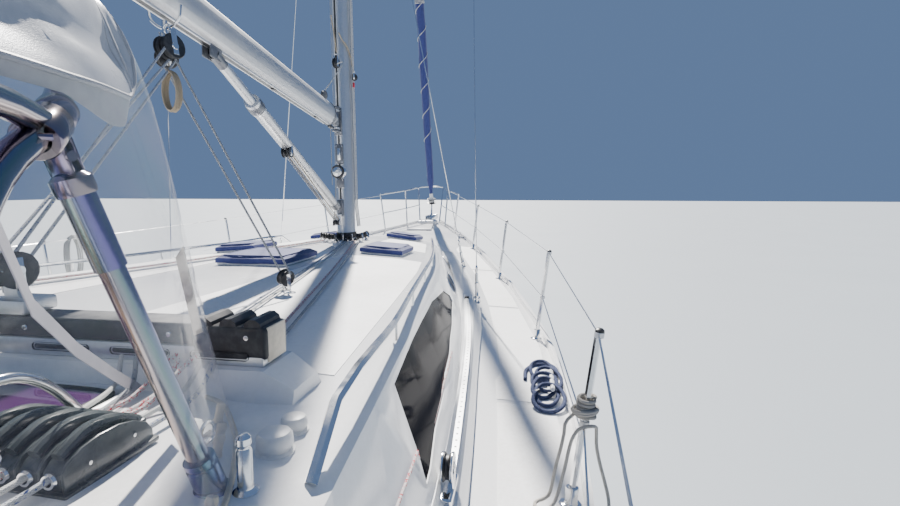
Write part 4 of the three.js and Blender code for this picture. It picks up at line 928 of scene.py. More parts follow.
def makeMainsheet():
    at = rig["sheetOnBoom"]
    top = boomPoint(at, -0.116)
    low = boomPoint(at, -0.235)
    bail = [boomPoint(at, up, side) for up, side in ((-0.05, -0.073), (-0.112, -0.060), (-0.150, 0),
        (-0.112, 0.060), (-0.05, 0.073))]
    finish(tube("boomBail", smoothLine(bail, 0.01), 0.006), stainless, "boom")
    fitBlock("sheetBlockAft", low + Vector((-0.02, -0.035, 0)), (0, 0.1, 1), (0.25, 1, 0), 0.048, sheaves=2)
    fitBlock("sheetBlockFore", low + Vector((0.045, 0.03, -0.025)), (-0.2, -0.1, 1), (0.6, 1, 0), 0.042)
    car = Vector((traveller["x"], traveller["carY"], 2.075))
    fitBlock("carBlock", car, (0.05, 0, -1), (0.3, 1, 0), 0.045, sheaves=2)
    eye = topAt(-1.04, -0.672)
    foot = Vector((-1.095, -0.70, eye + 0.085))
    fitBlock("footBlock", foot, (0.35, 0.1, -1), (0.5, 1, 0.1), 0.036)
    for k, (a, b) in enumerate([(low + Vector((-0.065, -0.05, -0.01)), car + Vector((-0.045, -0.02, 0.0))),
            (low + Vector((0.03, -0.02, -0.045)), car + Vector((0.045, 0.015, 0.0))),
            (low + Vector((-0.02, -0.03, -0.05)), car + Vector((0.0, 0.03, 0.04)))]):
        straightLine(f"sheetPart{k}", a, b, 0.005, blueLine)
    for k, side in enumerate((-0.038, 0.034)):
        straightLine(f"sheetToFoot{k}", low + Vector((0.05, 0.03 + side, -0.03)),
            foot + Vector((side * .6, side, 0.02)), 0.005, greyLine)
    eyes = []
    for x, y in ((-1.05, -0.70), (-1.02, -0.64)):
        eyes.append(turned("eyeBase", mm((0, 0), (26, 0), (24, 6), (8, 9), (0, 9)),
            (x, y, topAt(x, y) - 0.001)))
    eyes.append(tube("eyeRing", smoothLine([(-1.05, -0.70, eye + 0.004), (-1.055, -0.695, eye + 0.035),
        (-1.035, -0.67, eye + 0.048), (-1.015, -0.65, eye + 0.035), (-1.02, -0.64, eye + 0.004)], 0.008),
        0.005))
    finish(joined("sheetPadeye", *eyes), stainless)
    anchor = finish(tube("sheetPin", [low + Vector((0, 0, 0.02)), top], 0.012), stainless)
    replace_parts(anchor, "mainsheet")


traveller = {"x": -2.240, "carY": -0.52, "half": 1.250, "low": 1.868, "mid": 1.912, "top": 1.966}


def makeTraveller():
    t = traveller
    base = block("travellerBase", (t["x"], 0, (t["low"] + t["mid"]) / 2),
        (0.104, t["half"] * 2 - 0.02, t["mid"] - t["low"]), 0.004)
    finish(base, anodised)
    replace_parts(base, "traveller")
    # Black rounded blocks on the face of the base stand for the shade inside its openings: painted shade.
    slotShades = []
    for sign in (-1, 1):
        for y, long in ((1.13, 0.15), (0.92, 0.16), (0.70, 0.16)):
            slot = block("slot", (0, 0, 0), (0.006, long, 0.020), 0.0085, segments=3)
            slotShades.append(copyOf(slot, (t["x"] - 0.0505, sign * y, (t["low"] + t["mid"]) / 2 + 0.002)))
            bpy.data.objects.remove(slot)
    finish(joined("travellerSlotShades", *slotShades), blackPlastic)
    cover = block("travellerCover", (t["x"], 0, (t["mid"] + t["top"]) / 2 - 0.002),
        (0.092, 2.12, t["top"] - t["mid"]), 0.008, segments=3)
    ends = []
    for sign in (-1, 1):
        ends.append(block("endBody", (t["x"], sign * 1.155, 1.924), (0.106, 0.19, 0.078), 0.010, segments=3))
        for k in range(3):
            ends.append(tube("fin", [(t["x"] - 0.048, sign * (1.090 + k * 0.062), 1.958),
                (t["x"] + 0.048, sign * (1.090 + k * 0.062), 1.958)], 0.0235, 3))
    finish(joined("travellerCover", cover, *ends), blackPlastic)
    plates = [block("endPlate", (t["x"], sign * (t["half"] - 0.002), 1.920), (0.086, 0.006, 0.084), 0.003)
        for sign in (-1, 1)]
    finish(joined("travellerEnds", *plates), creamPlastic)
    screws = [turned("screw", mm((0, 0), (7, 0), (6, 3), (0, 4)), (t["x"] - 0.051, sign * y, 1.938),
        (-1, 0, 0), 10) for sign in (-1, 1) for y in (1.20, 1.00, 0.60, 0.30)]
    finish(joined("travellerScrews", *screws), stainless)
    car = [block("carBody", (t["x"], t["carY"], 1.985), (0.098, 0.16, 0.038), 0.008),
        block("carEar", (t["x"], t["carY"], 2.015), (0.014, 0.05, 0.05), 0.004)]
    finish(joined("travellerCar", *car), anodised)
    # control line from the end block to the clutches
    for k, (x, y) in enumerate([(-2.30, -1.08), (-2.27, -1.02)]):
        line = [(x, y, 1.895), (x - 0.05, y + 0.005, 1.880),
            (x - 0.16, y + 0.02, topAt(x - 0.16, y) + 0.02), (-2.53, y + 0.03, topAt(-2.53, y) + 0.03)]
        finish(tube(f"travellerLine{k}", smoothLine(line, 0.02), 0.005), redLine)
        finish(tube(f"travellerLinePort{k}", mirrored(smoothLine(line, 0.02), -1), 0.005), redLine)


makeMainsheet()
makeTraveller()
print("stage: mainsheet and traveller")

# Navy covers on the hatch lids: aft x, forward x, centre y, width
covers = {"hatch_saloon": (-0.215, 0.325, 0, 0.50), "hatch_middle_starboard": (0.660, 1.080, -0.645, 0.36),
    "hatch_middle_port": (0.660, 1.080, 0.645, 0.36), "hatch_forward_starboard": (2.130, 2.520, -0.440,
    0.34), "hatch_forward_port": (2.130, 2.520, 0.440, 0.34)}


def makeCover(node, aft, front, y, wide):
    # A padded cloth cover with chamfered shoulders and piped edges, over the white rim of its lid.
    body, name = bodyOf[node], node.replace("hatch_", "cover_")
    middle = ((aft + front) / 2, y)
    slope = (topAt(front, y, roofOnly) - topAt(aft, y, roofOnly)) / (front - aft)
    tilt = Matrix.Rotation(atan(-slope), 4, "Y")
    across = (topAt(middle[0], y + 0.1, roofOnly) - topAt(middle[0], y - 0.1, roofOnly)) / 0.2
    tilt = Matrix.Rotation(atan(across), 4, "X") @ tilt
    z = topAt(middle[0], y, roofOnly)
    place = Matrix.Translation((middle[0], y, z)) @ tilt
    bpy.ops.object.select_all(action="DESELECT")
    bpy.ops.mesh.primitive_cube_add(size=1, scale=(front - aft, wide, 0.030))
    cover = bpy.context.object
    settle(cover)

    def topFace():
        pickFaces(lambda f: f.normal.z > 0.9)

    editing(cover, lambda: bpy.ops.transform.translate(value=(0, 0, 0.030)), topFace,
        lambda: bpy.ops.mesh.inset(thickness=0.034, depth=0.020),
        lambda: bpy.ops.mesh.select_all(action="SELECT"), lambda: bpy.ops.mesh.subdivide(number_cuts=9))
    modify(cover, "BEVEL", width=0.008, segments=3, limit_method="ANGLE", angle_limit=radians(25))
    modify(cover, "SUBSURF", levels=1, render_levels=1)
    for v in cover.data.vertices:
        wave = noise.noise(Vector((v.co.x * 9 + y * 7, v.co.y * 9, 3.1 + v.co.z * 4)))
        crown = max(0, 1 - (2.1 * v.co.x / (front - aft)) ** 4) * max(0, 1 - (2.1 * v.co.y / wide) ** 4)
        quilt = -0.004 * max(0, 1 - abs(sin((v.co.x + v.co.y) * 20)) * 3) if v.co.z > 0.055 else 0
        v.co += Vector((0.3 * v.co.x, 0.3 * v.co.y, 1)) * wave * 0.0050 + Vector((0, 0,
            (0.009 * crown + quilt) if v.co.z > 0.04 else 0))
    cover.matrix_world = place
    settle(cover)
    cover.name = name
    half = (front - aft) / 2
    rim = block(name + "Rim", (0, 0, 0.012), (front - aft - 0.012, wide - 0.012, 0.026), 0.008, segments=3)
    rim.matrix_world = place
    finish(settle(rim), whitePlastic, body)
    for level, inset, name2 in ((0.047, 0.002, "PipingLow"), (0.066, 0.032, "PipingTop")):
        a, b, r = half - inset, wide / 2 - inset, 0.02
        corners = [(a, b - r), (a - r * .3, b - r * .3), (a - r, b), (-a + r, b), (-a + r * .3, b - r * .3),
            (-a, b - r), (-a, -b + r), (-a + r * .3, -b + r * .3), (-a + r, -b), (a - r, -b),
            (a - r * .3, -b + r * .3), (a, -b + r)]
        piping = tube(name + name2, [(px, py, level) for px, py in corners], 0.0035, 2, True)
        piping.matrix_world = place
        finish(settle(piping), navyCloth, body)
    finish(cover, navyCloth, body, 60)
    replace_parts(cover, node)


for node, row in covers.items():
    makeCover(node, *row)
print("stage: hatch covers")
castAlloy = hard("castAlloy", (0.16, 0.17, 0.19), (0.30, 0.30, 0.31), 0.5, 14, (0.35, 0.5), 400, 0.0004,
    Metallic=0.7)
mastLean = Matrix.Rotation(-atan(rig["rake"]), 4, "Y")


def aftFace(z):
    return mastX(z) - rig["mastLong"] / 2


def onMast(z, angle, out=0.0):
    # A point on the mast's skin; the angle counts from aft, positive to starboard.
    a = radians(angle)
    return Vector((mastX(z) - (rig["mastLong"] / 2 + out) * cos(a), -(rig["mastWide"] / 2 + out) * sin(a), z))


mastFittings = {"castings": [(2.905, 0.255, 0.072, 0.026), (2.598, 0.190, 0.080, 0.022),
    (2.315, 0.090, 0.078, 0.024), (2.075, 0.160, 0.056, 0.050)], "winch": 2.425, "groove": (2.16, 17.9),
    "halyardX": (0.010, 0.048, 0.086), "halyardTop": 7.0}


def makeMast():
    m = mastFittings
    low, high = m["groove"]
    mid = (low + high) / 2
    # A black strip down the aft face stands for the shade inside the luff groove: painted shade.
    finish(block("luffGrooveShade", (aftFace(mid) - 0.0005, 0, mid), (0.006, 0.016, high - low), 0.001,
        mastLean), blackPlastic)
    lips = [block("lip", (aftFace(mid) + 0.001, sign * 0.014, mid), (0.012, 0.007, high - low), 0.002,
        mastLean) for sign in (-1, 1)]
    finish(joined("grooveLips", *lips), anodised)
    cast = [block("casting", (aftFace(z) - thick / 2 + 0.010, 0, z), (thick, wide, tall), 0.007, mastLean,
        3) for z, tall, wide, thick in m["castings"]]
    for sign in (-1, 1):
        cast.append(block("lug", (gooseneck.x + 0.018, 0, gooseneck.z + sign * 0.108), (0.11, 0.052, 0.022),
            0.006, segments=3))
    finish(joined("gooseneckCastings", *cast), castAlloy)
    trims = [block("winchInlay", (aftFace(2.60) - 0.014, 0, 2.595), (0.008, 0.030, 0.115), 0.003, mastLean)]
    for z, tall, wide, thick in m["castings"][:3]:
        trims += [turned("mastScrew", mm((0, 0), (6, 0), (5, 3), (0, 4)),
            (aftFace(z) - thick + 0.011, y * wide * 0.36, z + up * tall * 0.4), (-1, 0, 0), 10)
            for y in (-1, 1) for up in (-1, 1)]
    finish(joined("mastTrims", *trims), stainless)
    z = m["winch"]
    base = (aftFace(z) - 0.008, -0.006, z)
    way = (-1, -0.10, 0)
    drum = turned("mastWinch", mm((0, 0), (58, 0), (60, 4), (58, 14), (47, 20), (38, 32), (36, 58),
        (41, 76), (50, 84), (50, 88), (30, 90), (30, 108), (47, 110), (44, 117), (26, 121), (13, 122),
        (11, 108), (0, 108)), base, way, 40)
    finish(drum, stainless)
    ring = turned("winchRing", mm((50, 89), (63, 90), (65, 95), (63, 101), (52, 103), (49, 108), (60, 110),
        (62, 114), (56, 119), (46, 118), (46, 108), (50, 98), (50, 89)), base, way, 40)
    finish(ring, blackPlastic)
    # rubber boot at the deck, and the halyard blocks on their eyes round it
    foot = topAt(rig["stepX"], 0.0, roofOnly)
    boot = turned("mastBoot", [(0, -0.004), (1.34, -0.004), (1.30, 0.012), (1.16, 0.022), (1.12, 0.040),
        (1.07, 0.062), (1.055, 0.085), (0, 0.085)], steps=48)
    boot.matrix_world = Matrix.Translation((mastX(foot), 0, foot)) @ Matrix.Diagonal((rig["mastLong"] / 2,
        rig["mastWide"] / 2 + 0.004, 1, 1))
    finish(settle(boot), rubber)
    for k, (x, y, lean) in enumerate([(1.405, -0.118, 0.10), (1.500, -0.190, 0.22), (1.745, -0.165, 0.5),
            (1.405, 0.118, -0.10), (1.500, 0.190, -0.22), (1.330, 0.030, 0.0), (1.380, -0.030, 0.0)]):
        z = topAt(x, y, roofOnly)
        fitBlock(f"footBlock{k}", (x, y, z + 0.060), (lean * 0.3, -lean, -1), (lean, 1, 0), 0.030,
            wide=0.022, sheaves=2)
        finish(turned(f"footEye{k}", mm((0, -3), (26, -3), (26, 3), (10, 6), (8, 16), (0, 17)), (x, y, z),
            steps=20), stainless)
    for k, dx in enumerate(m["halyardX"]):
        side = -rig["mastWide"] / 2 - 0.010
        for sign in (1, -1):
            line = [Vector((mastX(1.9) + dx - 0.04, sign * (side - 0.035), 1.885)),
                Vector((mastX(2.1) + dx - 0.02, sign * (side - 0.008), 2.10))]
            line += [Vector((mastX(z) + dx, sign * side, z)) for z in (2.6, 3.4, 4.4, 5.5,
                m["halyardTop"] - 0.15)]
            line.append(Vector((mastX(m["halyardTop"]) + dx, sign * (side + 0.03), m["halyardTop"])))
            finish(tube(f"halyard{k}{'SP'[sign < 0]}", line, 0.0052), (greyLine, whiteLine, blueLine)[k])
    # sail's outhaul and reefing parts above the boom
    wrap = [onMast(3.71, 20, 0.05), onMast(3.66, 35, 0.014), onMast(3.62, 60, 0.009),
        onMast(3.55, 85, 0.009), onMast(3.47, 108, 0.012), onMast(3.38, 112, 0.020)]
    finish(tube("outhaulWrap", smoothLine(wrap, 0.02), 0.006), tanLine)
    wrap = [onMast(3.85, 0, 0.10), onMast(3.72, 0, 0.045), onMast(3.60, 4, 0.028), onMast(3.54, 6, 0.02)]
    finish(tube("reefTail", smoothLine(wrap, 0.02), 0.006), tanLine)
    fitBlock("luffBlock", onMast(3.44, 4, 0.030), (0.05, 0, 1), (0.2, 1, 0), 0.042, wide=0.026)
    fitBlock("shroudBlock", onMast(3.35, 110, 0.030), (0, 0, 1), (1, 0.2, 0), 0.030, wide=0.024)
    finish(block("shroudTag", onMast(3.275, 110, 0.024), (0.020, 0.018, 0.045), 0.004), redPlastic)
    # masthead: lamp, wind vane and whip aerial
    high = rig["mastTop"]
    top = mastX(high)
    lamp = turned("mastheadLamp", mm((0, 0), (45, 0), (45, 12), (38, 16), (38, 85), (43, 90), (36, 110),
        (0, 113)), (top + 0.11, 0, 18.262), steps=28)
    finish(lamp, whitePlastic)
    vane = [tube("vaneStalk", [(top - 0.02, 0.05, high), (top - 0.02, 0.05, high + 0.25)], 0.004),
        tube("vaneArm", [(top - 0.25, 0.05, high + 0.25), (top + 0.12, 0.05, high + 0.25)], 0.003),
        block("vaneTail", (top - 0.24, 0.05, high + 0.25), (0.10, 0.002, 0.045), 0.0),
        tube("whip", [(top - 0.26, -0.03, high), (top - 0.26, -0.03, high + 0.35)], 0.003)]
    finish(joined("mastheadVane", *vane), blackPlastic)


redPlastic = hard("redPlastic", (0.55, 0.03, 0.05), (0.4, 0.05, 0.06), 0.3, 12, (0.35, 0.5), 300, 0.0002)
makeMast()
print("stage: mast fittings")

vangLow = Vector((gooseneck.x, 0, rig["vangFoot"]))
vangTop = boomPoint(rig["vangOnBoom"], -0.12)


def vangAt(t, low=0.0, side=0.0):
    return vangLow.lerp(vangTop, t) + Vector((0.62, 0, -0.78)).normalized() * low + boomSide * side


def makeVang():
    way = (vangTop - vangLow).normalized()
    dark = [tube("vangFork", [vangAt(0.955), vangAt(0.995)], 0.030, 4),
        turned("vangCollar", mm((0, -32), (48, -32), (51, -26), (51, 26), (48, 32), (0, 32)), vangAt(0.785),
        way, 30), tube("vangFootCup", [vangAt(0.035), vangAt(0.075)], 0.045, 4)]
    for sign in (-1, 1):
        dark.append(block("vangCheek", boomPoint(rig["vangOnBoom"], -0.118, sign * 0.020),
            (0.12, 0.008, 0.075), 0.006, boomTurn))
        dark.append(block("vangToggle", vangAt(0.020, 0, sign * 0.022), (0.09, 0.008, 0.050), 0.006,
            toWay(way) @ Matrix.Rotation(pi / 2, 4, "Y")))
    finish(joined("vangFittings", *dark), castAlloy, "boom")
    low, high = vangLow + Vector((-0.045, 0, -0.129)), vangAt(0.60, 0.10)
    for name, spot, radius, wide in (("vangFootBlock", low, 0.027, 0.024),
            ("vangCamBlock", high, 0.036, 0.026)):
        fitBlock(name, spot, (0.3, 0, 1), (0, 1, 0), radius, wide=wide, sheaves=2, body="boom")
    for k, (dx, dy) in enumerate([(-0.026, -0.020), (0.026, -0.018), (-0.024, 0.014), (0.024, 0.018)]):
        straightLine(f"vangPart{k}", low + Vector((dx * 0.84, dy * 0.92, 0.022)),
            high + Vector((dx, dy, -0.01)), 0.0045, tanLine if k % 2 else greyLine, "boom")


def makeBoomFittings():
    long = rig["boomLength"]
    # A black strip along the boom's underside stands for the shade inside its slot: painted shade.
    slot = block("boomSlot", boomPoint((0.3 + long) / 2, -rig["boomHigh"] / 2 + 0.002),
        (long - 0.32, 0.024, 0.008), 0.002, boomTurn)
    finish(slot, blackPlastic, "boom")
    rails = [block("slotLip", boomPoint((0.3 + long) / 2, -rig["boomHigh"] / 2 + 0.003, sign * 0.018),
        (long - 0.32, 0.010, 0.014), 0.003, boomTurn) for sign in (-1, 1)]
    finish(joined("boomSlotLips", *rails), anodised, "boom")
    # inboard casting: a dark tapering end with its knuckle
    rings = [(0.075, 0.30), (0.100, 0.46), (0.150, 0.72), (0.205, 0.93), (0.240, 1.02), (0.246, 1.02)]
    points, n = [], 32
    for along, scale in rings:
        for i in range(n):
            a = tau * i / n
            points.append(boomPoint(along, cos(a) * (rig["boomHigh"] / 2 + 0.003) * scale,
                sin(a) * (rig["boomWide"] / 2 + 0.003) * scale))
    end = loft("boomFrontCasting", points, n)
    knuckle = turned("boomKnuckle", mm((0, -62), (26, -62), (30, -56), (30, 56), (26, 62), (0, 62)),
        boomPoint(0))
    finish(joined("boomFrontCasting", end, knuckle), castAlloy, "boom")
    sheave = turned("outhaulBlock", mm((0, -16), (30, -16), (36, -12), (30, -4), (30, 4), (36, 12),
        (30, 16), (0, 16)), boomPoint(0.42, 0.125, -0.018), (0.2, 1, 0))
    finish(sheave, greyPlastic, "boom")
    clips = [block("boomCleat", boomPoint(0.19, -0.108, -0.01), (0.10, 0.040, 0.020), 0.006, boomTurn)]
    for along in (0.6, 1.5, 3.4, 4.3):
        clips.append(block("boomEye", boomPoint(along, -0.103), (0.05, 0.024, 0.012), 0.004, boomTurn))
    finish(joined("boomCleats", *clips), blackPlastic, "boom")
    line = smoothLine([boomPoint(0.42, 0.150, -0.018), onMast(3.42, 30, 0.19) + Vector((-0.06, 0, -0.03)),
        onMast(3.43, 4, 0.035)], 0.03)
    finish(tube("outhaul", line, 0.0045), whiteLine)
    drop = boomPoint(0.17, -0.112)
    finish(tube("boomFrontTail", [drop, Vector((drop.x + 0.003, drop.y, 2.60)),
        Vector((drop.x + 0.005, drop.y, 2.30))], 0.0042), greyLine, "boom")


makeVang()
makeBoomFittings()
print("stage: boom and vang fittings")

furl = {"sail": (0.12, 16.0), "rowSteps": (0.07, 0.16), "fineTo": 4, "sides": 40, "foot": (6.235, 0, 1.960),
    "head": (mastX(18.1) + 0.215, 0, 18.080), "pitch": 1.05,
    "radii": [(0.10, 0.026), (0.26, 0.028), (0.42, 0.056), (2.5, 0.068), (6.0, 0.064), (11.0, 0.050),
    (15.9, 0.030), (16.0, 0.019)]}


def makeHeadsail():
    foot, head = Vector(furl["foot"]), Vector(furl["head"])
    way = (head - foot).normalized()
    turnTo = way.to_track_quat("Z", "Y").to_matrix()

    def radiusAt(h):
        for (h0, r0), (h1, r1) in zip(furl["radii"], furl["radii"][1:]):
            if h <= h1:
                return r0 + (r1 - r0) * (h - h0) / (h1 - h0)
        return furl["radii"][-1][1]

    def wound(h, a, out=0.0):  # each turn of the leech steps out over the one below it
        phase = (a / tau + h / furl["pitch"]) % 1.0
        r = radiusAt(h)
        lift = 0.10 * phase + 0.025 * sin(h * 3.1 + a) + 0.04 * noise.noise(Vector((h * 3, cos(a) * 2,
            sin(a) * 2)))
        return foot + turnTo @ Vector((cos(a) * (r * (1 + lift) + out), sin(a) * (r * (1 + lift) + out), h))

    n, rows = furl["sides"], []
    h, top = furl["sail"]
    fine, coarse = furl["rowSteps"]
    while h < top - 0.05:
        rows.append(h)
        h += fine if h < furl["fineTo"] else coarse
    rows.append(top)
    points = [wound(h, tau * i / n) for h in rows for i in range(n)]
    roll = loft("furledSail", points, n)
    finish(roll, navyCloth, "headsail", 25)
    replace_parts(roll, "furled_headsail")
    sheet = [wound(1.0 + t * 0.02, 0.6 + t * 0.30, 0.004) for t in range(140)]
    finish(tube("sheetTurns", sheet, 0.0055), whiteLine, "headsail")
    band = [wound(3.40 + t * 0.0011, 0.6 + t * 0.35, 0.005) for t in range(110)]
    finish(tube("sheetHitch", band, 0.0055), whiteLine, "headsail")
    drum = turned("furlerDrum", mm((0, 10), (86, 10), (88, 14), (86, 20), (46, 26), (44, 50), (46, 78),
        (78, 84), (80, 88), (78, 93), (30, 98), (28, 125), (0, 125)), foot, way, 40)
    finish(drum, blackPlastic, "headsail")
    cap = turned("furlerCap", mm((29, 94), (70, 93.5), (73, 97), (60, 106), (36, 116), (34, 190), (29, 200),
        (26, 200), (26, 94), (29, 94)), foot, way, 40)
    finish(cap, whitePlastic, "headsail")
    coils = [foot + turnTo @ Vector((cos(a) * 0.050, sin(a) * 0.050, 0.030 + 0.006 * a / tau))
        for a in [i * 0.35 for i in range(128)]]
    finish(tube("furlingTurns", coils, 0.0042), whiteLine, "headsail")
    swivel = turned("headSwivel", mm((0, 0), (34, 0), (36, 10), (36, 50), (28, 60), (28, 110), (20, 120),
        (0, 120)), foot + way * top, way, 28)
    finish(swivel, blackPlastic, "headsail")
    stay = tube("forestay", [foot, head], 0.0055, 3)
    finish(stay, stainless, "headsail")


makeHeadsail()
print("stage: furled headsail")


# Deck gear beside the hood: rope clutches, lines over the roof, vents and skylights
def slab(name, outline, thick, centre=(0, 0, 0), bevel=0.0015):
    # A plate with its outline in x and z, thick across y.
    obj = meshOf(name, [(x, 0, z) for x, z in outline], (), [tuple(range(len(outline)))])
    thicken(obj, thick)
    if bevel:
        modify(obj, "BEVEL", width=bevel, segments=2, limit_method="ANGLE", angle_limit=radians(30))
    obj.matrix_world = Matrix.Translation(centre)
    return settle(obj)


clutch = {"x": -2.645, "y": -1.050, "step": 0.042, "count": 5,
    "lines": (blueLine, whiteLine, redLine, greyLine, whiteLine),
    "comeFrom": (-1.13, -1.10, -1.04, -0.93, -0.89), "bush": mm((7.5, -4), (12.5, -4), (13.5, 0), (11.5, 4),
    (7.5, 4), (7.5, -4)), "side": mm((-93, 0), (-95, 38), (-84, 51), (-60, 63), (-26, 69), (16, 67),
    (50, 58), (80, 41), (93, 22), (95, 0)), "handle": mm((-80, 55), (-56, 67), (-24, 74), (13, 72),
    (44, 62), (74, 46), (83, 40))}


def makeClutches():
    c = clutch
    z = topAt(c["x"], c["y"], roofOnly) + 0.002
    across = (topAt(c["x"], c["y"] + 0.1, roofOnly) - topAt(c["x"], c["y"] - 0.1, roofOnly)) / 0.2
    tilt = Matrix.Rotation(atan(across), 4, "X")
    place = Matrix.Translation((c["x"], c["y"], z)) @ tilt
    shells, metal = [], []
    half = (c["count"] - 1) / 2
    inner = [(x * 0.97, h - 0.005 if h > 0.02 else h) for x, h in c["side"]]
    for k in range(c["count"] + 1):
        shells.append(slab("sidePlate", c["side"], 0.006, (0, (k - half - 0.5) * c["step"], 0), 0.0022))
    for k in range(c["count"]):
        y = (k - half) * c["step"]
        shells.append(slab("case", inner, c["step"] - 0.010, (0, y, 0)))
        shells.append(tube("grip", smoothLine([(x, y, h) for x, h in c["handle"]], 0.008), 0.0105, 3))
        for dy in (-0.006, 0.006):
            shells.append(tube("rib", smoothLine([(x * 0.8 - 0.006, y + dy, h + 0.0065) for x,
                h in c["handle"]], 0.01), 0.0030, 1))
        shells.append(block("gripEnd", (0.085, y, 0.038), (0.016, 0.025, 0.010), 0.003))
        for sign, high in ((-1, 0.025), (1, 0.014)):
            metal.append(turned("bush", c["bush"], (sign * 0.096, y, high), (sign, 0, 0), 20))
    for x in (-0.047, 0.047):
        metal.append(tube("pinRod", [(x, -(half + 0.5) * c["step"] - 0.005, 0.032),
            (x, (half + 0.5) * c["step"] + 0.005, 0.032)], 0.0035, 3))
    base = block("clutchBase", (0, 0, 0.001), (0.202, c["count"] * c["step"] + 0.020, 0.010), 0.003)
    bank, trim = joined("clutchBank", base, *shells), joined("clutchTrims", *metal)
    for obj in (bank, trim):
        obj.matrix_world = place
        settle(obj)
    pairOf(bank, clutchPlastic, node="clutches")
    pairOf(trim, stainless)


clutchPlastic = hard("clutchPlastic", (0.030, 0.038, 0.038), (0.07, 0.08, 0.08), 0.6, 14, (0.22, 0.38), 500,
    0.0002, Coat_Weight=0.2)
makeClutches()


def roofLine(name, points, lift, material, radius=0.0055):
    finish(tube(name, overTop(points, lift), radius), material)


def makeRoofLines():
    tied = [(whiteLine, blueLine), (greyLine, redLine)]
    for sign in (1, -1):
        side = "" if sign > 0 else "Port"
        for p, (head, aft) in enumerate([((1.36, -0.105), (-2.10, -0.870)),
                ((1.44, -0.180), (-2.10, -1.110))]):
            way = (Vector(aft) - Vector(head)).normalized()
            out = Vector((way.y, -way.x)) * 0.018
            for k in (-1, 1):
                a, b = Vector(head) + out * k, Vector(aft) + out * k
                mid = a.lerp(b, 0.5)
                roofLine(f"roofLine{p}{'ab'[k > 0]}{side}", [(a.x, sign * a.y),
                    (mid.x, sign * (mid.y + 0.004)), (b.x, sign * b.y)], 0.016, tied[p][k > 0])
            mouth = turned("mouth", mm((0, 0), (30, 0), (34, 3), (30, 6), (0, 6)), (0, 0, 0), (1, 0, 0), 28)
            for v in mouth.data.vertices:
                v.co.y *= 1.5
            mouth.location = (-2.112, sign * aft[1], topAt(-2.10, sign * aft[1], roofOnly) + 0.020)
            finish(settle(mouth), blackPlastic)
            mouth.name = f"lineMouth{p}{side}"
        c = clutch
        z = topAt(c["x"], c["y"], roofOnly)
        for k in range(c["count"]):
            y = c["y"] + (k - 2) * c["step"]
            start = (-2.315, c["comeFrom"][k])
            points = [(start[0], start[1], topAt(*start) + 0.020),
                ((start[0] - 2.50) / 2 + 0.02, (start[1] + y) / 2, topAt(-2.43, y) + 0.028),
                (c["x"] + 0.100, y, z + 0.017 + (c["y"] - y) * -0.06), (c["x"] + 0.08, y, z + 0.018)]
            finish(tube(f"clutchLine{k}{side}", mirrored(smoothLine(points, 0.02), sign), 0.0055),
                clutch["lines"][k])
            tail = [(c["x"] - 0.08, y, z + 0.028), (c["x"] - 0.104, y, z + 0.027),
                (-2.80, y * 0.985, topAt(-2.80, y) + 0.014), (-2.92, y * 0.965, topAt(-2.90, y) + 0.010),
                (-2.965, y * 0.96, topAt(-2.90, y) + 0.004), (-2.98, y * 0.96, topAt(-2.90, y) - 0.02)]
            finish(tube(f"clutchTail{k}{side}", mirrored(smoothLine(tail, 0.02), sign), 0.0055),
                clutch["lines"][k])
            hole = turned("tailHole", mm((0, -2), (14, -2), (15, 3), (10, 4), (8, 2), (0, 2)),
                (-2.972, sign * y * 0.96, topAt(-2.97, sign * y * 0.96)), steps=18)
            finish(hole, blackPlastic)
            hole.name = f"tailFairlead{k}{side}"


makeRoofLines()


def patch(name, xs, near, far, lift, material, across=10, sign=1):
    # A thin panel draped on the mouldings, between two lines.
    rows = []
    for x in xs:
        a, b = near(x), far(x)
        ys = [sign * (a + (b - a) * i / across) for i in range(across + 1)]
        rows.append([Vector((x, y, topAt(x, y) + lift)) for y in ys])
    obj = gridOf(name, rows)
    return finish(thicken(obj, 0.003), material, smooth=50)


def spread(a, b, step=0.12):
    count = max(2, round(abs(b - a) / step))
    return [a + (b - a) * i / count for i in range(count + 1)]


def along(rows, x):
    for (x0, v0), (x1, v1) in zip(rows, rows[1:]):
        if x <= x1:
            return v0 + (v1 - v0) * (x - x0) / (x1 - x0)
    return rows[-1][1]


roofEdge = [(-3.0, 1.545), (-2.2, 1.462), (-1.1, 1.338), (0.0, 1.212), (1.0, 1.060), (2.0, 0.870),
    (3.0, 0.630), (3.7, 0.385)]
roofFoot = [(-3.0, 1.670), (-2.2, 1.660), (-1.1, 1.590), (0.0, 1.490), (1.0, 1.345), (2.0, 1.150),
    (3.0, 0.890), (3.7, 0.650)]
deckEdge = [(-5.2, 1.800), (-3.9, 1.920), (-2.6, 2.030), (-1.3, 2.095), (0.0, 2.010), (1.3, 1.785),
    (2.6, 1.480), (3.9, 1.105), (5.2, 0.645)]


def makePanels():
    for sign, side in ((-1, ""), (1, "Port")):
        for name, start, end, across in (("roofPanel", -2.10, 0.52, 12), ("midPanel", 1.16, 2.02, 8)):
            patch(name + side, spread(start, end), lambda x: 0.36, lambda x: along(roofEdge, x) - 0.115,
                0.0012, nonSlip, across, sign)
        for k, (a, b) in enumerate([(-4.8, -2.72), (-2.70, -0.92), (-0.90, 0.92), (0.94, 2.42), (2.44, 3.9)]):
            patch(f"sideDeckPanel{k}{side}", spread(a + 0.01, b - 0.01),
                lambda x: along(roofFoot, min(x, 3.6)) + (0.13 if x < -0.6 else 0.16),
                lambda x: along(deckEdge, x) - 0.085, 0.0012, nonSlip, 5, sign)


makePanels()


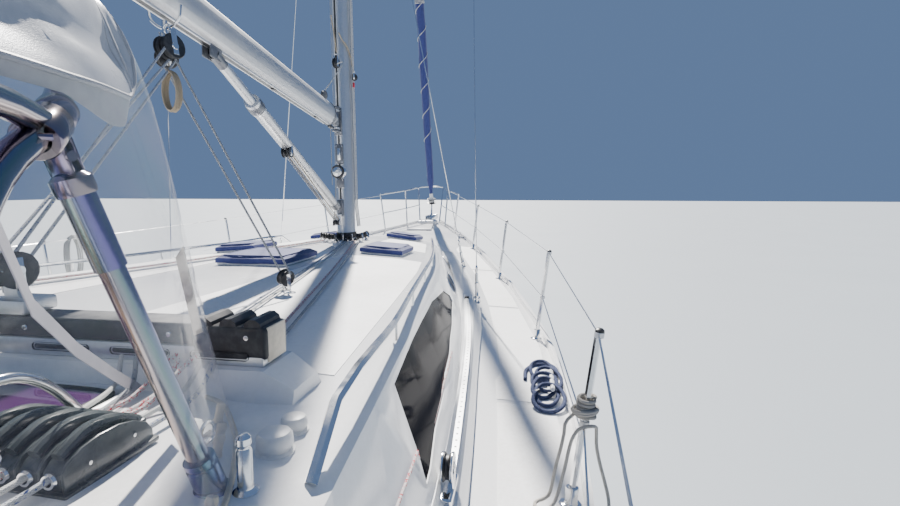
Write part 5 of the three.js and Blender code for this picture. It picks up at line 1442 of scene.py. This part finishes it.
def makeVents():
    caps = []
    for x, y, r, high in ((-2.52, -1.385, 0.033, 0.040), (-2.43, -1.380, 0.026, 0.032)):
        z = topAt(x, y)
        caps.append(turned("ventCap", [(0, -0.004), (r * 1.12, -0.004), (r * 1.12, 0.003), (r * 0.9, 0.005),
            (r * 0.9, high * 0.3), (r * 1.02, high * 0.34), (r * 1.04, high * 0.5), (r * 1.0, high * 0.8),
            (r * 0.86, high * 0.96), (r * 0.5, high * 1.03), (0, high * 1.05)], (x, y, z), steps=40))
    pairOf(joined("ventCaps", *caps), whitePlastic)
    z = topAt(-2.51, -1.24)
    eye = [block("eyePlate", (-2.51, -1.24, z + 0.002), (0.056, 0.030, 0.005), 0.002),
        tube("eyeBow", smoothLine([(-2.53, -1.24, z), (-2.528, -1.24, z + 0.022), (-2.51, -1.24, z + 0.033),
        (-2.492, -1.24, z + 0.022), (-2.49, -1.24, z)], 0.005), 0.004)]
    pairOf(joined("clutchEye", *eye), stainless)
    # tinted skylights beside the companionway, with their black seals
    outline = [(-2.386, -0.52), (-2.386, -0.88), (-2.400, -0.915), (-2.435, -0.930), (-2.88, -0.955),
        (-2.92, -0.93), (-2.93, -0.90), (-2.93, -0.56), (-2.91, -0.52), (-2.88, -0.505), (-2.42, -0.500),
        (-2.396, -0.505)]
    top = [Vector((x, y, topAt(x, y, roofOnly) + 0.012)) for x, y in outline]
    pane = meshOf("skylight", top, (), [tuple(range(len(top)))])
    pairOf(thicken(pane, 0.010), purpleTint)
    seal = tube("skylightSeal", smoothLine([*top, top[0]], 0.02)[:-1], 0.0095, 3, True)
    pairOf(seal, rubber)
    lip = tube("skylightCurb", smoothLine([*[p + Vector((0.028 if p.x > -2.5 else 0,
        -0.028 if p.y < -0.8 else 0.028 if p.y > -0.6 else 0, -0.008)) for p in [*top, top[0]]]],
        0.02)[:-1], 0.013, 3, True)
    pairOf(lip, gelcoat)
    rail = [(-2.505, -0.975, topAt(-2.5, -0.975) - 0.004), (-2.520, -0.982, topAt(-2.5, -0.975) + 0.020),
        (-2.60, -1.005, 1.925), (-2.665, -1.018, 1.972), (-2.73, -1.018, 1.985), (-2.90, -1.005, 1.985),
        (-2.955, -0.995, 1.965), (-2.975, -0.990, 1.925), (-2.978, -0.985, topAt(-2.97, -0.985) - 0.004)]
    grab = [tube("grabRail", smoothLine(rail, 0.015), 0.0095, 4)]
    for x, y, z in (rail[0], rail[-1]):
        grab.append(turned("grabFoot", mm((0, 2), (22, 2), (23, 6), (14, 10), (0, 10)), (x, y, z)))
    pairOf(joined("grabRail", *grab), stainless)


makeVents()
print("stage: clutches, roof lines, panels and vents")


# Free ropes, each one smooth route of its real length in place of its CAD solids
def bendOf(a, b, c):
    cross = (b - a).cross(c - a).length
    return (b - a).length * (c - b).length * (c - a).length / (2 * cross) if cross > 1e-9 else 9


def easeBends(line, limit):
    # Opens the bends that are tighter than the rope would take.
    line = [p.copy() for p in line]
    for _ in range(600):
        tight = [i for i in range(1, len(line) - 1) if bendOf(line[i - 1], line[i], line[i + 1]) < limit]
        if not tight:
            break
        for i in tight:
            line[i] = line[i].lerp((line[i - 1] + line[i + 1]) / 2, 0.35)
    return line


def coilTurns(turns, start, perTurn=24):
    # The angle and the count of turns at each point of a coil.
    return [(tau * i / perTurn + start, i / perTurn) for i in range(turns * perTurn + 1)]


def freeRope(name, points, thick, material, node):
    points = easeBends(points, thick * 2.04)
    strand = tube(name, points, thick / 2, 3)
    lastBit = [points[-1] + (points[-2] - points[-1]).normalized() * 0.02, points[-1]]
    whip = tube(name + "Whipping", lastBit, thick / 2 + 0.0006, 3)
    finish(strand, material, smooth=60)
    end = finish(whip, blackPlastic if thick > 0.013 else whitePlastic)
    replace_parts(strand, node)


hank = {"thick": 0.021, "aft": -0.950, "front": -0.460, "y": -1.948, "loops": 6, "long": 0.102,
    "wide": 0.074, "lift": 0.050}


def makeHank():
    h = hank
    points = [Vector((x, y, topAt(x, y) + h["thick"] * 0.52)) for x,
        y in ((-0.62, -1.838), (-0.55, -1.835), (-0.48, -1.842), (-0.42, -1.862), (-0.375, -1.892))]
    count = h["loops"] * 30
    for i in range(count + 1):
        t = i / count
        a = tau * h["loops"] * t - 0.5
        x = h["front"] + (h["aft"] - h["front"]) * t + h["long"] * (0.92 + 0.12 * sin(11 * t)) * cos(a
            + 0.25 * sin(7 * t))
        y = h["y"] + 0.014 * sin(t * 13) - h["wide"] * (0.90 + 0.12 * sin(15 * t + 1)) * sin(a)
        up = h["lift"] * (1 + cos(a)) / 2  # each loop lies on the one before it
        points.append(Vector((x, y, topAt(x, y) + h["thick"] * 0.52 + up * min(1, t * h["loops"] * 1.2))))
    line = smoothLine(points[::2] + ([points[-1]] if len(points) % 2 == 0 else []), 0.012)
    freeRope("mooringLine", line, h["thick"], navyLine, "mooring_hank")


def makeSheetCoil():
    low = boomPoint(rig["sheetOnBoom"], -0.235)
    centre = Vector((-1.300, -0.318, 2.690))
    points = [low + Vector((-0.012, -0.020, -0.052)), low + Vector((-0.022, -0.028, -0.085))]
    for a, k in coilTurns(6, pi / 2):
        points.append(centre + Vector(((k - 3) * 0.0072, 0.034 * cos(a) * (1 + 0.05 * sin(k * 5)),
            0.002 + 0.082 * sin(a) * (1 + 0.04 * cos(k * 4)))))
    line = smoothLine(points, 0.010)
    freeRope("sheetTail", line, 0.007, tanLine, "sheet_coil")


def makePortCoil():
    rails = treeOf("guard_rail_port")
    x = 0.390
    best = Vector((x, 1.98, 1.86))
    for k in range(160):
        hit = rails.ray_cast(Vector((x, 1.90 + k * 0.001, 2.3)), Vector((0, 0, -1)))
        if hit[0] and hit[0].z > 1.7:
            best = hit[0]
            break
    centre = Vector((x, 1.946, 1.690))
    points = [best + Vector((-0.03, 0.012, -0.03)), best + Vector((-0.03, 0.004, 0.002)),
        best + Vector((-0.028, -0.012, 0.002))]
    for a, k in coilTurns(6, pi * 0.62):
        points.append(centre + Vector((0.062 * cos(a) * (1 + 0.06 * sin(k * 3)), (3 - k) * 0.0102,
            0.185 * sin(a) * (1 + 0.04 * cos(k * 4)))))
    line = smoothLine(points, 0.014)
    freeRope("fenderLine", line, 0.010, whiteLine, "port_coil")


def makeStanchionRope():
    def beside(up, dx, dy):
        return Vector((-1.690 + dx, -2.005 - up * 0.12 + dy, 1.250 + up))

    points = []
    start, perTurn = -2.2, 16
    for a, k in coilTurns(5, start, perTurn):  # the turns round the post
        points.append(beside(0.350 - 0.0135 * k, 0.0270 * cos(a), 0.0270 * sin(a)))
    for a, k in coilTurns(3, start, perTurn)[1:2 * perTurn + 5]:  # the hitch over them
        points.append(beside(0.283 + 0.016 * k + 0.012 * sin(a * 0.5), 0.0400 * cos(a), 0.0400 * sin(a)))
    # up along the post, then out from it in x and y, in millimetres
    for spot in [(270, -12, 52), (225, -24, 58), (180, -34, 62), (135, -40, 68), (90, -46, 72),
            (50, -50, 74), (20, -54, 80), (8, -62, 100), (8, -82, 124), (8, -112, 118), (10, -122, 90),
            (24, -104, 66), (55, -84, 54), (90, -72, 48), (135, -60, 42), (180, -50, 38), (220, -44, 32),
            (252, -42, 16), (262, -40, -10), (258, -26, -38), (236, -12, -46), (180, -6, -56),
            (120, -7, -76), (60, -8, -100), (0, -8, -122), (-60, -7, -134), (-110, -6, -139)]:
        points.append(beside(*[v / 1000 for v in spot]))
    line = smoothLine(points, 0.012)
    knot = turned("ropeKnot", mm((0, -14), (8, -13), (12, -7), (13, 0), (12, 7), (8, 13), (0, 14)),
        line[-1], line[-1] - line[-2], 20)
    finish(knot, tanLine)
    freeRope("springLine", line, 0.012, paleLine, "stanchion_rope")


paleLine = rope("paleLine", (0.60, 0.57, 0.52), (0.48, 0.45, 0.40), 0.6, 90, 0.003)
makeHank()
makeSheetCoil()
makePortCoil()
makeStanchionRope()
print("stage: free ropes")


# Genoa tracks with their cars, read along the CAD track
track = {"firstX": -2.35, "pitch": 0.4, "stations": 9, "carX": -1.85, "holes": 0.05, "cheek": 0.048,
    "profile": mm((-15.5, 0), (15.5, 0), (15.5, 3.5), (7.5, 5), (7.5, 11), (14, 12), (14, 16.5),
    (-14, 16.5), (-14, 12), (-7.5, 11), (-7.5, 5), (-15.5, 3.5))}


def trackLine():
    line = []
    for k in range(track["stations"]):
        x = track["firstX"] + k * track["pitch"]
        ring = [v.co for v in cadNodes["genoa_track_starboard"].data.vertices if abs(v.co.x - x) < 0.002
            and v.co.z < 1.5]
        line.append(Vector((x, (min(v.y for v in ring) + max(v.y for v in ring)) / 2,
            max(v.z for v in ring) - 0.020)))
    return line


def trackAt(line, x):
    k = min(len(line) - 2, max(0, int((x - track["firstX"]) / track["pitch"])))
    return line[k].lerp(line[k + 1], (x - line[k].x) / track["pitch"])


def makeTrack():
    line = trackLine()
    carLow = trackAt(line, track["carX"])
    points = [q + Vector((0, y, z)) for q in line for y, z in track["profile"]]
    rail = loft("genoaTrack", points, len(track["profile"]))
    base = patch("trackBase", spread(track["firstX"], line[-1].x, 0.1),
        lambda x: -trackAt(line, x).y - 0.030, lambda x: -trackAt(line, x).y + 0.030, 0.001, anodised, 2,
        -1)
    pairOf(joined("genoaTrack", rail, base), anodised, node="genoa_track")
    # Thin black discs on the track stand for the shade inside its holes: painted shade.
    holes = []
    x = track["firstX"] + 0.04
    while x < line[-1].x - 0.02:
        if abs(x - track["carX"]) > 0.085:
            holes.append(turned("hole", mm((0, 0), (5.2, 0), (4.8, 0.8), (0, 0.8)),
                trackAt(line, x) + Vector((0, 0, 0.0163)), steps=12))
        x += track["holes"]
    pairOf(joined("trackHoleShades", *holes), blackPlastic)
    stops = [block("trackStop", trackAt(line, x) + Vector((0, 0, 0.012)), (0.045, 0.038, 0.030), 0.006,
        segments=3) for x in (track["firstX"] + 0.02, line[-1].x - 0.02)]
    pairOf(joined("trackStops", *stops), blackPlastic)
    # the car: a stainless slide with a tall block, its cheeks, hub and plunger
    c = carLow + Vector((0, 0, 0.0165))
    r = track["cheek"]
    slide = [block("slide", c + Vector((0, 0, 0.008)), (0.158, 0.048, 0.030), 0.008, segments=3),
        block("yoke", c + Vector((0, 0.0, 0.045)), (0.034, 0.044, 0.062), 0.006, segments=3)]
    middle = c + Vector((0.0, 0.0, 0.086))
    for sign in (-1, 1):
        slide.append(turned("rimRing", [(r * 0.62, 0.012), (r * 0.98, 0.012), (r, 0.015), (r * 0.98, 0.019),
            (r * 0.66, 0.020), (r * 0.62, 0.017), (r * 0.62, 0.012)], middle, (0, sign, 0), 40))
        slide.append(turned("hub", [(0, 0.012), (r * 0.26, 0.012), (r * 0.26, 0.022), (r * 0.20, 0.025),
            (0, 0.025)], middle, (0, sign, 0)))
        slide.append(block("carStrap", middle + Vector((0, sign * 0.022, -0.020)), (0.022, 0.003, 0.075),
            0.001))
    slide.append(tube("plunger", [c + Vector((0.060, 0, 0.020)), c + Vector((0.060, 0, 0.052))], 0.006, 4))
    pairOf(joined("genoaCar", *slide), stainless)
    dark = [turned("cheek", [(0, -0.015), (r * 0.95, -0.015), (r * 0.96, -0.010), (r * 0.80, -0.004),
        (r * 0.80, 0.004), (r * 0.96, 0.010), (r * 0.95, 0.015), (0, 0.015)], middle, (0, 1, 0), 40),
        turned("plungerKnob", mm((0, 0), (11, 0), (13, 4), (13, 12), (9, 17), (0, 18)),
        c + Vector((0.060, 0, 0.048)))]
    pairOf(joined("genoaCarBlock", *dark), blackPlastic)
    ledgeLine = [(x, -trackAt(line, max(track["firstX"], x)).y - 0.075)
        for x in (-2.55, -2.2, -1.85, -1.5, -1.1, -0.75)]
    for sign, side in ((-1, ""), (1, "Port")):
        roofLine("ledgeLine" + side, [(x, sign * y) for x, y in ledgeLine], 0.006, redLine, 0.0045)


makeTrack()
print("stage: genoa tracks")


# Deck ends of the shrouds: cover plate, toggle and turnbuckle
stays = {"shroud_cap": (0.860, -1.418), "shroud_forward": (2.350, -1.112)}


def makeTurnbuckles():
    parts, plates = [], []
    for node, (x, y) in stays.items():
        points = [v.co for v in cadNodes[node + "_starboard"].data.vertices]
        foot = Vector((x, y, topAt(x, y)))
        ring = [p for p in points if 0.22 < p.z - foot.z < 0.30]
        top = sum(ring, Vector()) / len(ring) if ring else foot + Vector((0, 0.03, 0.25))
        way = (top - foot).normalized()
        parts.append(turned("buckle", mm((0, 40), (14.5, 40), (16.5, 46), (16.5, 60), (15, 64), (14.5, 150),
            (16.5, 154), (16.5, 168), (13, 172), (9.5, 176), (9.5, 260), (12, 264), (11.5, 300), (7, 312),
            (0, 313)), foot, way))
        for side in (-1, 1):
            parts.append(block("toggle", foot + way * 0.026 + Vector((0, side * 0.0155, 0)),
                (0.026, 0.005, 0.050), 0.003, toWay(way)))
        parts.append(tube("clevis", [foot + way * 0.014 + Vector((0, -0.022, 0)),
            foot + way * 0.014 + Vector((0, 0.022, 0))], 0.0065, 3))
        parts.append(tube("splitPin", [foot + way * 0.115 + Vector((-0.022, 0, 0)),
            foot + way * 0.115 + Vector((0.022, 0, 0))], 0.0022, 2))
        plates.append(block("chainCover", foot + Vector((0, 0, 0.001)), (0.110, 0.058, 0.008), 0.003))
        for dx in (-0.042, 0.042):
            plates.append(turned("plateScrew", mm((0, 4), (6, 4), (5, 7), (0, 7)),
                foot + Vector((dx, 0, 0)), steps=14))
    pairOf(joined("turnbuckles", *parts), stainless)
    pairOf(joined("chainplateCovers", *plates), stainless)


makeTurnbuckles()


# Stanchion sockets, ferrules of the wires, caps of the posts and the screws of the toe rail
posts = {"x": (-3.560, -1.690, 0.160, 2.070, 3.800), "lean": 0.12, "wires": (0.300, 0.608)}


def railPost(x):
    points = [v.co for v in cadNodes["guard_rail_starboard"].data.vertices if abs(v.co.x - x) < 0.03
        and v.co.z > 1.2]
    low = min(p.z for p in points)
    ring = [p for p in points if p.z < low + 0.06]
    return sum(ring, Vector()) / len(ring), low


def makeRailFittings():
    sockets, ferrules, grips = [], [], []
    for x in posts["x"]:
        spot, low = railPost(x)
        foot = Vector((x, spot.y, low - 0.004))
        way = Vector((0, -posts["lean"], 1)).normalized()
        sockets.append(turned("socket", mm((0, 0), (34, 0), (36, 3), (34, 7), (24, 11), (19.5, 18),
            (18.5, 70), (16.5, 73), (0, 73)), foot, way, 32))
        sockets.append(tube("socketRing", [foot + Vector((0.030 + 0.014 * cos(a), 0,
            0.030 + 0.014 * sin(a))) for a in [tau * i / 16 for i in range(16)]], 0.003, 2, True))
        for up in posts["wires"]:
            ferrules.append(turned("ferrule", mm((13.5, -10), (16.5, -9), (16.5, 9), (13.5, 10),
                (13.5, -10)), foot + way * (up + 0.004), way, 20))
        grips.append(turned("postCap", mm((0, 0), (15, 0), (16, 4), (15, 12), (9, 17), (0, 18)),
            foot + way * 0.617, way))
    pairOf(joined("stanchionSockets", *sockets), stainless)
    pairOf(joined("wireFerrules", *ferrules), whitePlastic)
    pairOf(joined("stanchionCaps", *grips), blackPlastic)
    rail = treeOf("toe_rail_starboard")
    screws = []
    x = -5.0
    while x < 5.6:
        edge = along(deckEdge, x)
        for z in (1.36, 1.32, 1.28, 1.25):
            hit = rail.ray_cast(Vector((x, -edge + 0.25, z)), Vector((0, -1, 0)))
            if hit[0]:
                screws.append(turned("railScrew", mm((0, -1), (4.8, -1), (4.2, 1.2), (0, 1.6)), hit[0],
                    (0, 1, 0), 8))
                break
        x += 0.20
    if screws:
        pairOf(joined("railScrews", *screws), stainless)


makeRailFittings()
print("stage: shroud ends and rail fittings")


# Self-tailing winches on the roof and coamings
def makeWinch(name, node, x, y, z, r, high):
    place = (x, y, z)
    drum = [turned("drum", scaled(r, high, (0, 0), (1, 0), (1, 0.05), (0.97, 0.10), (0.80, 0.16),
        (0.66, 0.26), (0.63, 0.44), (0.66, 0.58), (0.80, 0.66), (0.84, 0.69), (0.60, 0.70), (0.58, 0.80),
        (0, 0.80)), place, steps=56), turned("jawLow", scaled(r, high, (0.55, 0.71), (0.86, 0.735),
        (0.88, 0.755), (0.62, 0.785), (0.55, 0.785), (0.55, 0.71)), place, steps=56),
        turned("jawTop", scaled(r, high, (0.55, 0.82), (0.62, 0.82), (0.88, 0.85), (0.86, 0.90),
        (0.72, 0.955), (0.40, 0.985), (0.17, 0.99), (0.15, 0.93), (0, 0.93)), place, steps=56)]
    for i in range(30):  # grip ribs of the drum
        a = tau * i / 30
        low = Vector((x + r * 0.645 * cos(a), y + r * 0.645 * sin(a), z + high * 0.27))
        drum.append(tube("rib", [low, low + Vector((0, 0, high * 0.30))], 0.0016, 1))
    arm = smoothLine([(x + r * 0.90, y + r * 0.10, z + high * 0.62),
        (x + r * 0.98, y + r * 0.12, z + high * 0.74), (x + r * 0.90, y + r * 0.16, z + high * 0.81),
        (x + r * 0.60, y + r * 0.14, z + high * 0.80)], 0.01)
    drum.append(tube("feeder", arm, 0.006, 3))
    pairOf(joined(name, *drum), stainless, node=node)
    pairOf(turned(name + "Base", [(0, -0.004), (r * 1.06, -0.004), (r * 1.06, 0.004), (r * 1.0, 0.008),
        (0, 0.008)], place, steps=48), blackPlastic)
    pairOf(turned(name + "Cap", scaled(r, high, (0, 0.93), (0.14, 0.93), (0.14, 0.975), (0, 0.975)), place),
        blackPlastic)


makeWinch("roofWinch", "roof_winch", -2.865, -1.120, topAt(-2.865, -1.120), 0.064, 0.136)
makeWinch("primaryWinch", "primary_winch", -4.250, -1.240, topAt(-4.250, -1.240), 0.090, 0.182)
print("stage: winches")


# Cockpit: laid teak on seats and sole, the wheel's leather and the compass
helm = {"wheel": (-4.930, 0, 1.600), "rim": 0.475, "compass": (-4.760, 0, 1.700), "teak": (-5.62, -3.16),
    "plank": 0.055}


def makeCockpit():
    xWheel, _, zWheel = helm["wheel"]
    rim = helm["rim"]
    xCompass, _, zCompass = helm["compass"]
    for sign, side in ((-1, ""), (1, "Port")):
        patch("seatTeak" + side, spread(*helm["teak"]), lambda x: 0.475, lambda x: 1.030, 0.003, teak, 3,
            sign)
    patch("soleTeak", spread(*helm["teak"]), lambda x: -0.380, lambda x: 0.380, 0.003, teak, 4, 1)
    seams = []
    for x0, x1, low, high in ((-5.61, -3.17, 0.475, 1.030), (-5.61, -3.17, -0.380, 0.380),
            (-5.61, -3.17, -1.030, -0.475)):
        y = low + helm["plank"]
        while y < high - 0.02:
            seams.append(tube("seam", [Vector((x, y, topAt(x, y) + 0.0042))
                for x in (x0, (x0 + x1) / 2, x1)], 0.0022, 1))
            y += helm["plank"]
    finish(joined("teakSeams", *seams), rubber)
    section = [(rim + 0.0175 * cos(tau * i / 14), 0.0175 * sin(tau * i / 14)) for i in range(15)]
    ring = turned("wheelLeather", section, helm["wheel"], (1, 0, 0), 96)
    finish(ring, leather, "wheel", 60)
    stitches = [turned("stitch", mm((18, -1), (19, 0), (18, 1), (18, -1)),
        (xWheel, rim * cos(a), zWheel + rim * sin(a)), (0, -sin(a), cos(a)), 14)
        for a in [tau * i / 36 for i in range(36)]]
    finish(joined("wheelStitches", *stitches), rubber, "wheel")
    finish(turned("wheelHub", mm((0, -22), (40, -22), (56, -16), (58, 0), (56, 30), (0, 30)), helm["wheel"],
        (1, 0, 0), 40), stainless, "wheel")
    base = turned("compassBase", mm((0, -6), (86, -6), (86, 6), (78, 18), (76, 26), (0, 26)),
        helm["compass"], steps=40)
    finish(base, blackPlastic)
    finish(turned("compassDome", mm((68, 0), (66, 22), (56, 42), (38, 57), (18, 65), (0, 67)),
        (xCompass, 0, zCompass + 0.022), steps=40), tinted)
    finish(turned("compassCard", mm((0, 0), (56, 0), (56, 4), (20, 12), (0, 13)),
        (xCompass, 0, zCompass + 0.027), steps=40), whitePlastic)
    arch = [(-0.135, 1.42), (-0.140, 1.70), (-0.110, 1.79), (0, 1.81), (0.110, 1.79), (0.140, 1.70),
        (0.135, 1.42)]
    guard = tube("pedestalGuard", smoothLine([(xCompass + 0.06, y, z) for y, z in arch], 0.03), 0.0125, 4)
    finish(guard, stainless)


makeCockpit()


# Portlights in the sides of the coachroof, and the fairing before the stem fitting
# Each one: middle x, half length, place from edge to foot, half height as a share
portlights = [(0.92, 0.26, 0.42, 0.13), (2.42, 0.19, 0.42, 0.13)]


def makePortlights():
    panes, rims = [], []
    for x, half, middle, tall in portlights:
        outline = []
        for i in range(40):
            a = tau * i / 40
            u = copysign(abs(cos(a)) ** 0.45, cos(a)) * half
            v = middle + copysign(abs(sin(a)) ** 0.6, sin(a)) * tall
            px = x + u
            y = -(along(roofEdge, px) + (along(roofFoot, px) - along(roofEdge, px)) * v)
            outline.append(Vector((px, y, topAt(px, y) + 0.003)))
        pane = meshOf("pane", [*outline, sum(outline, Vector()) / 40], (),
            [(i, (i + 1) % 40, 40) for i in range(40)])
        panes.append(thicken(pane, 0.004))
        rims.append(tube("rim", outline, 0.0065, 3, True))
    pairOf(joined("portlightPanes", *panes), tinted, smooth=60)
    pairOf(joined("portlightRims", *rims), stainless)
    z = topAt(5.80, 0)
    hump = block("bowFairing", (5.80, 0, z + 0.020), (0.26, 0.34, 0.085), 0.030, segments=4)
    finish(modify(hump, "SUBSURF", levels=1, render_levels=1), gelcoat)


makePortlights()
print("stage: cockpit and portlights")
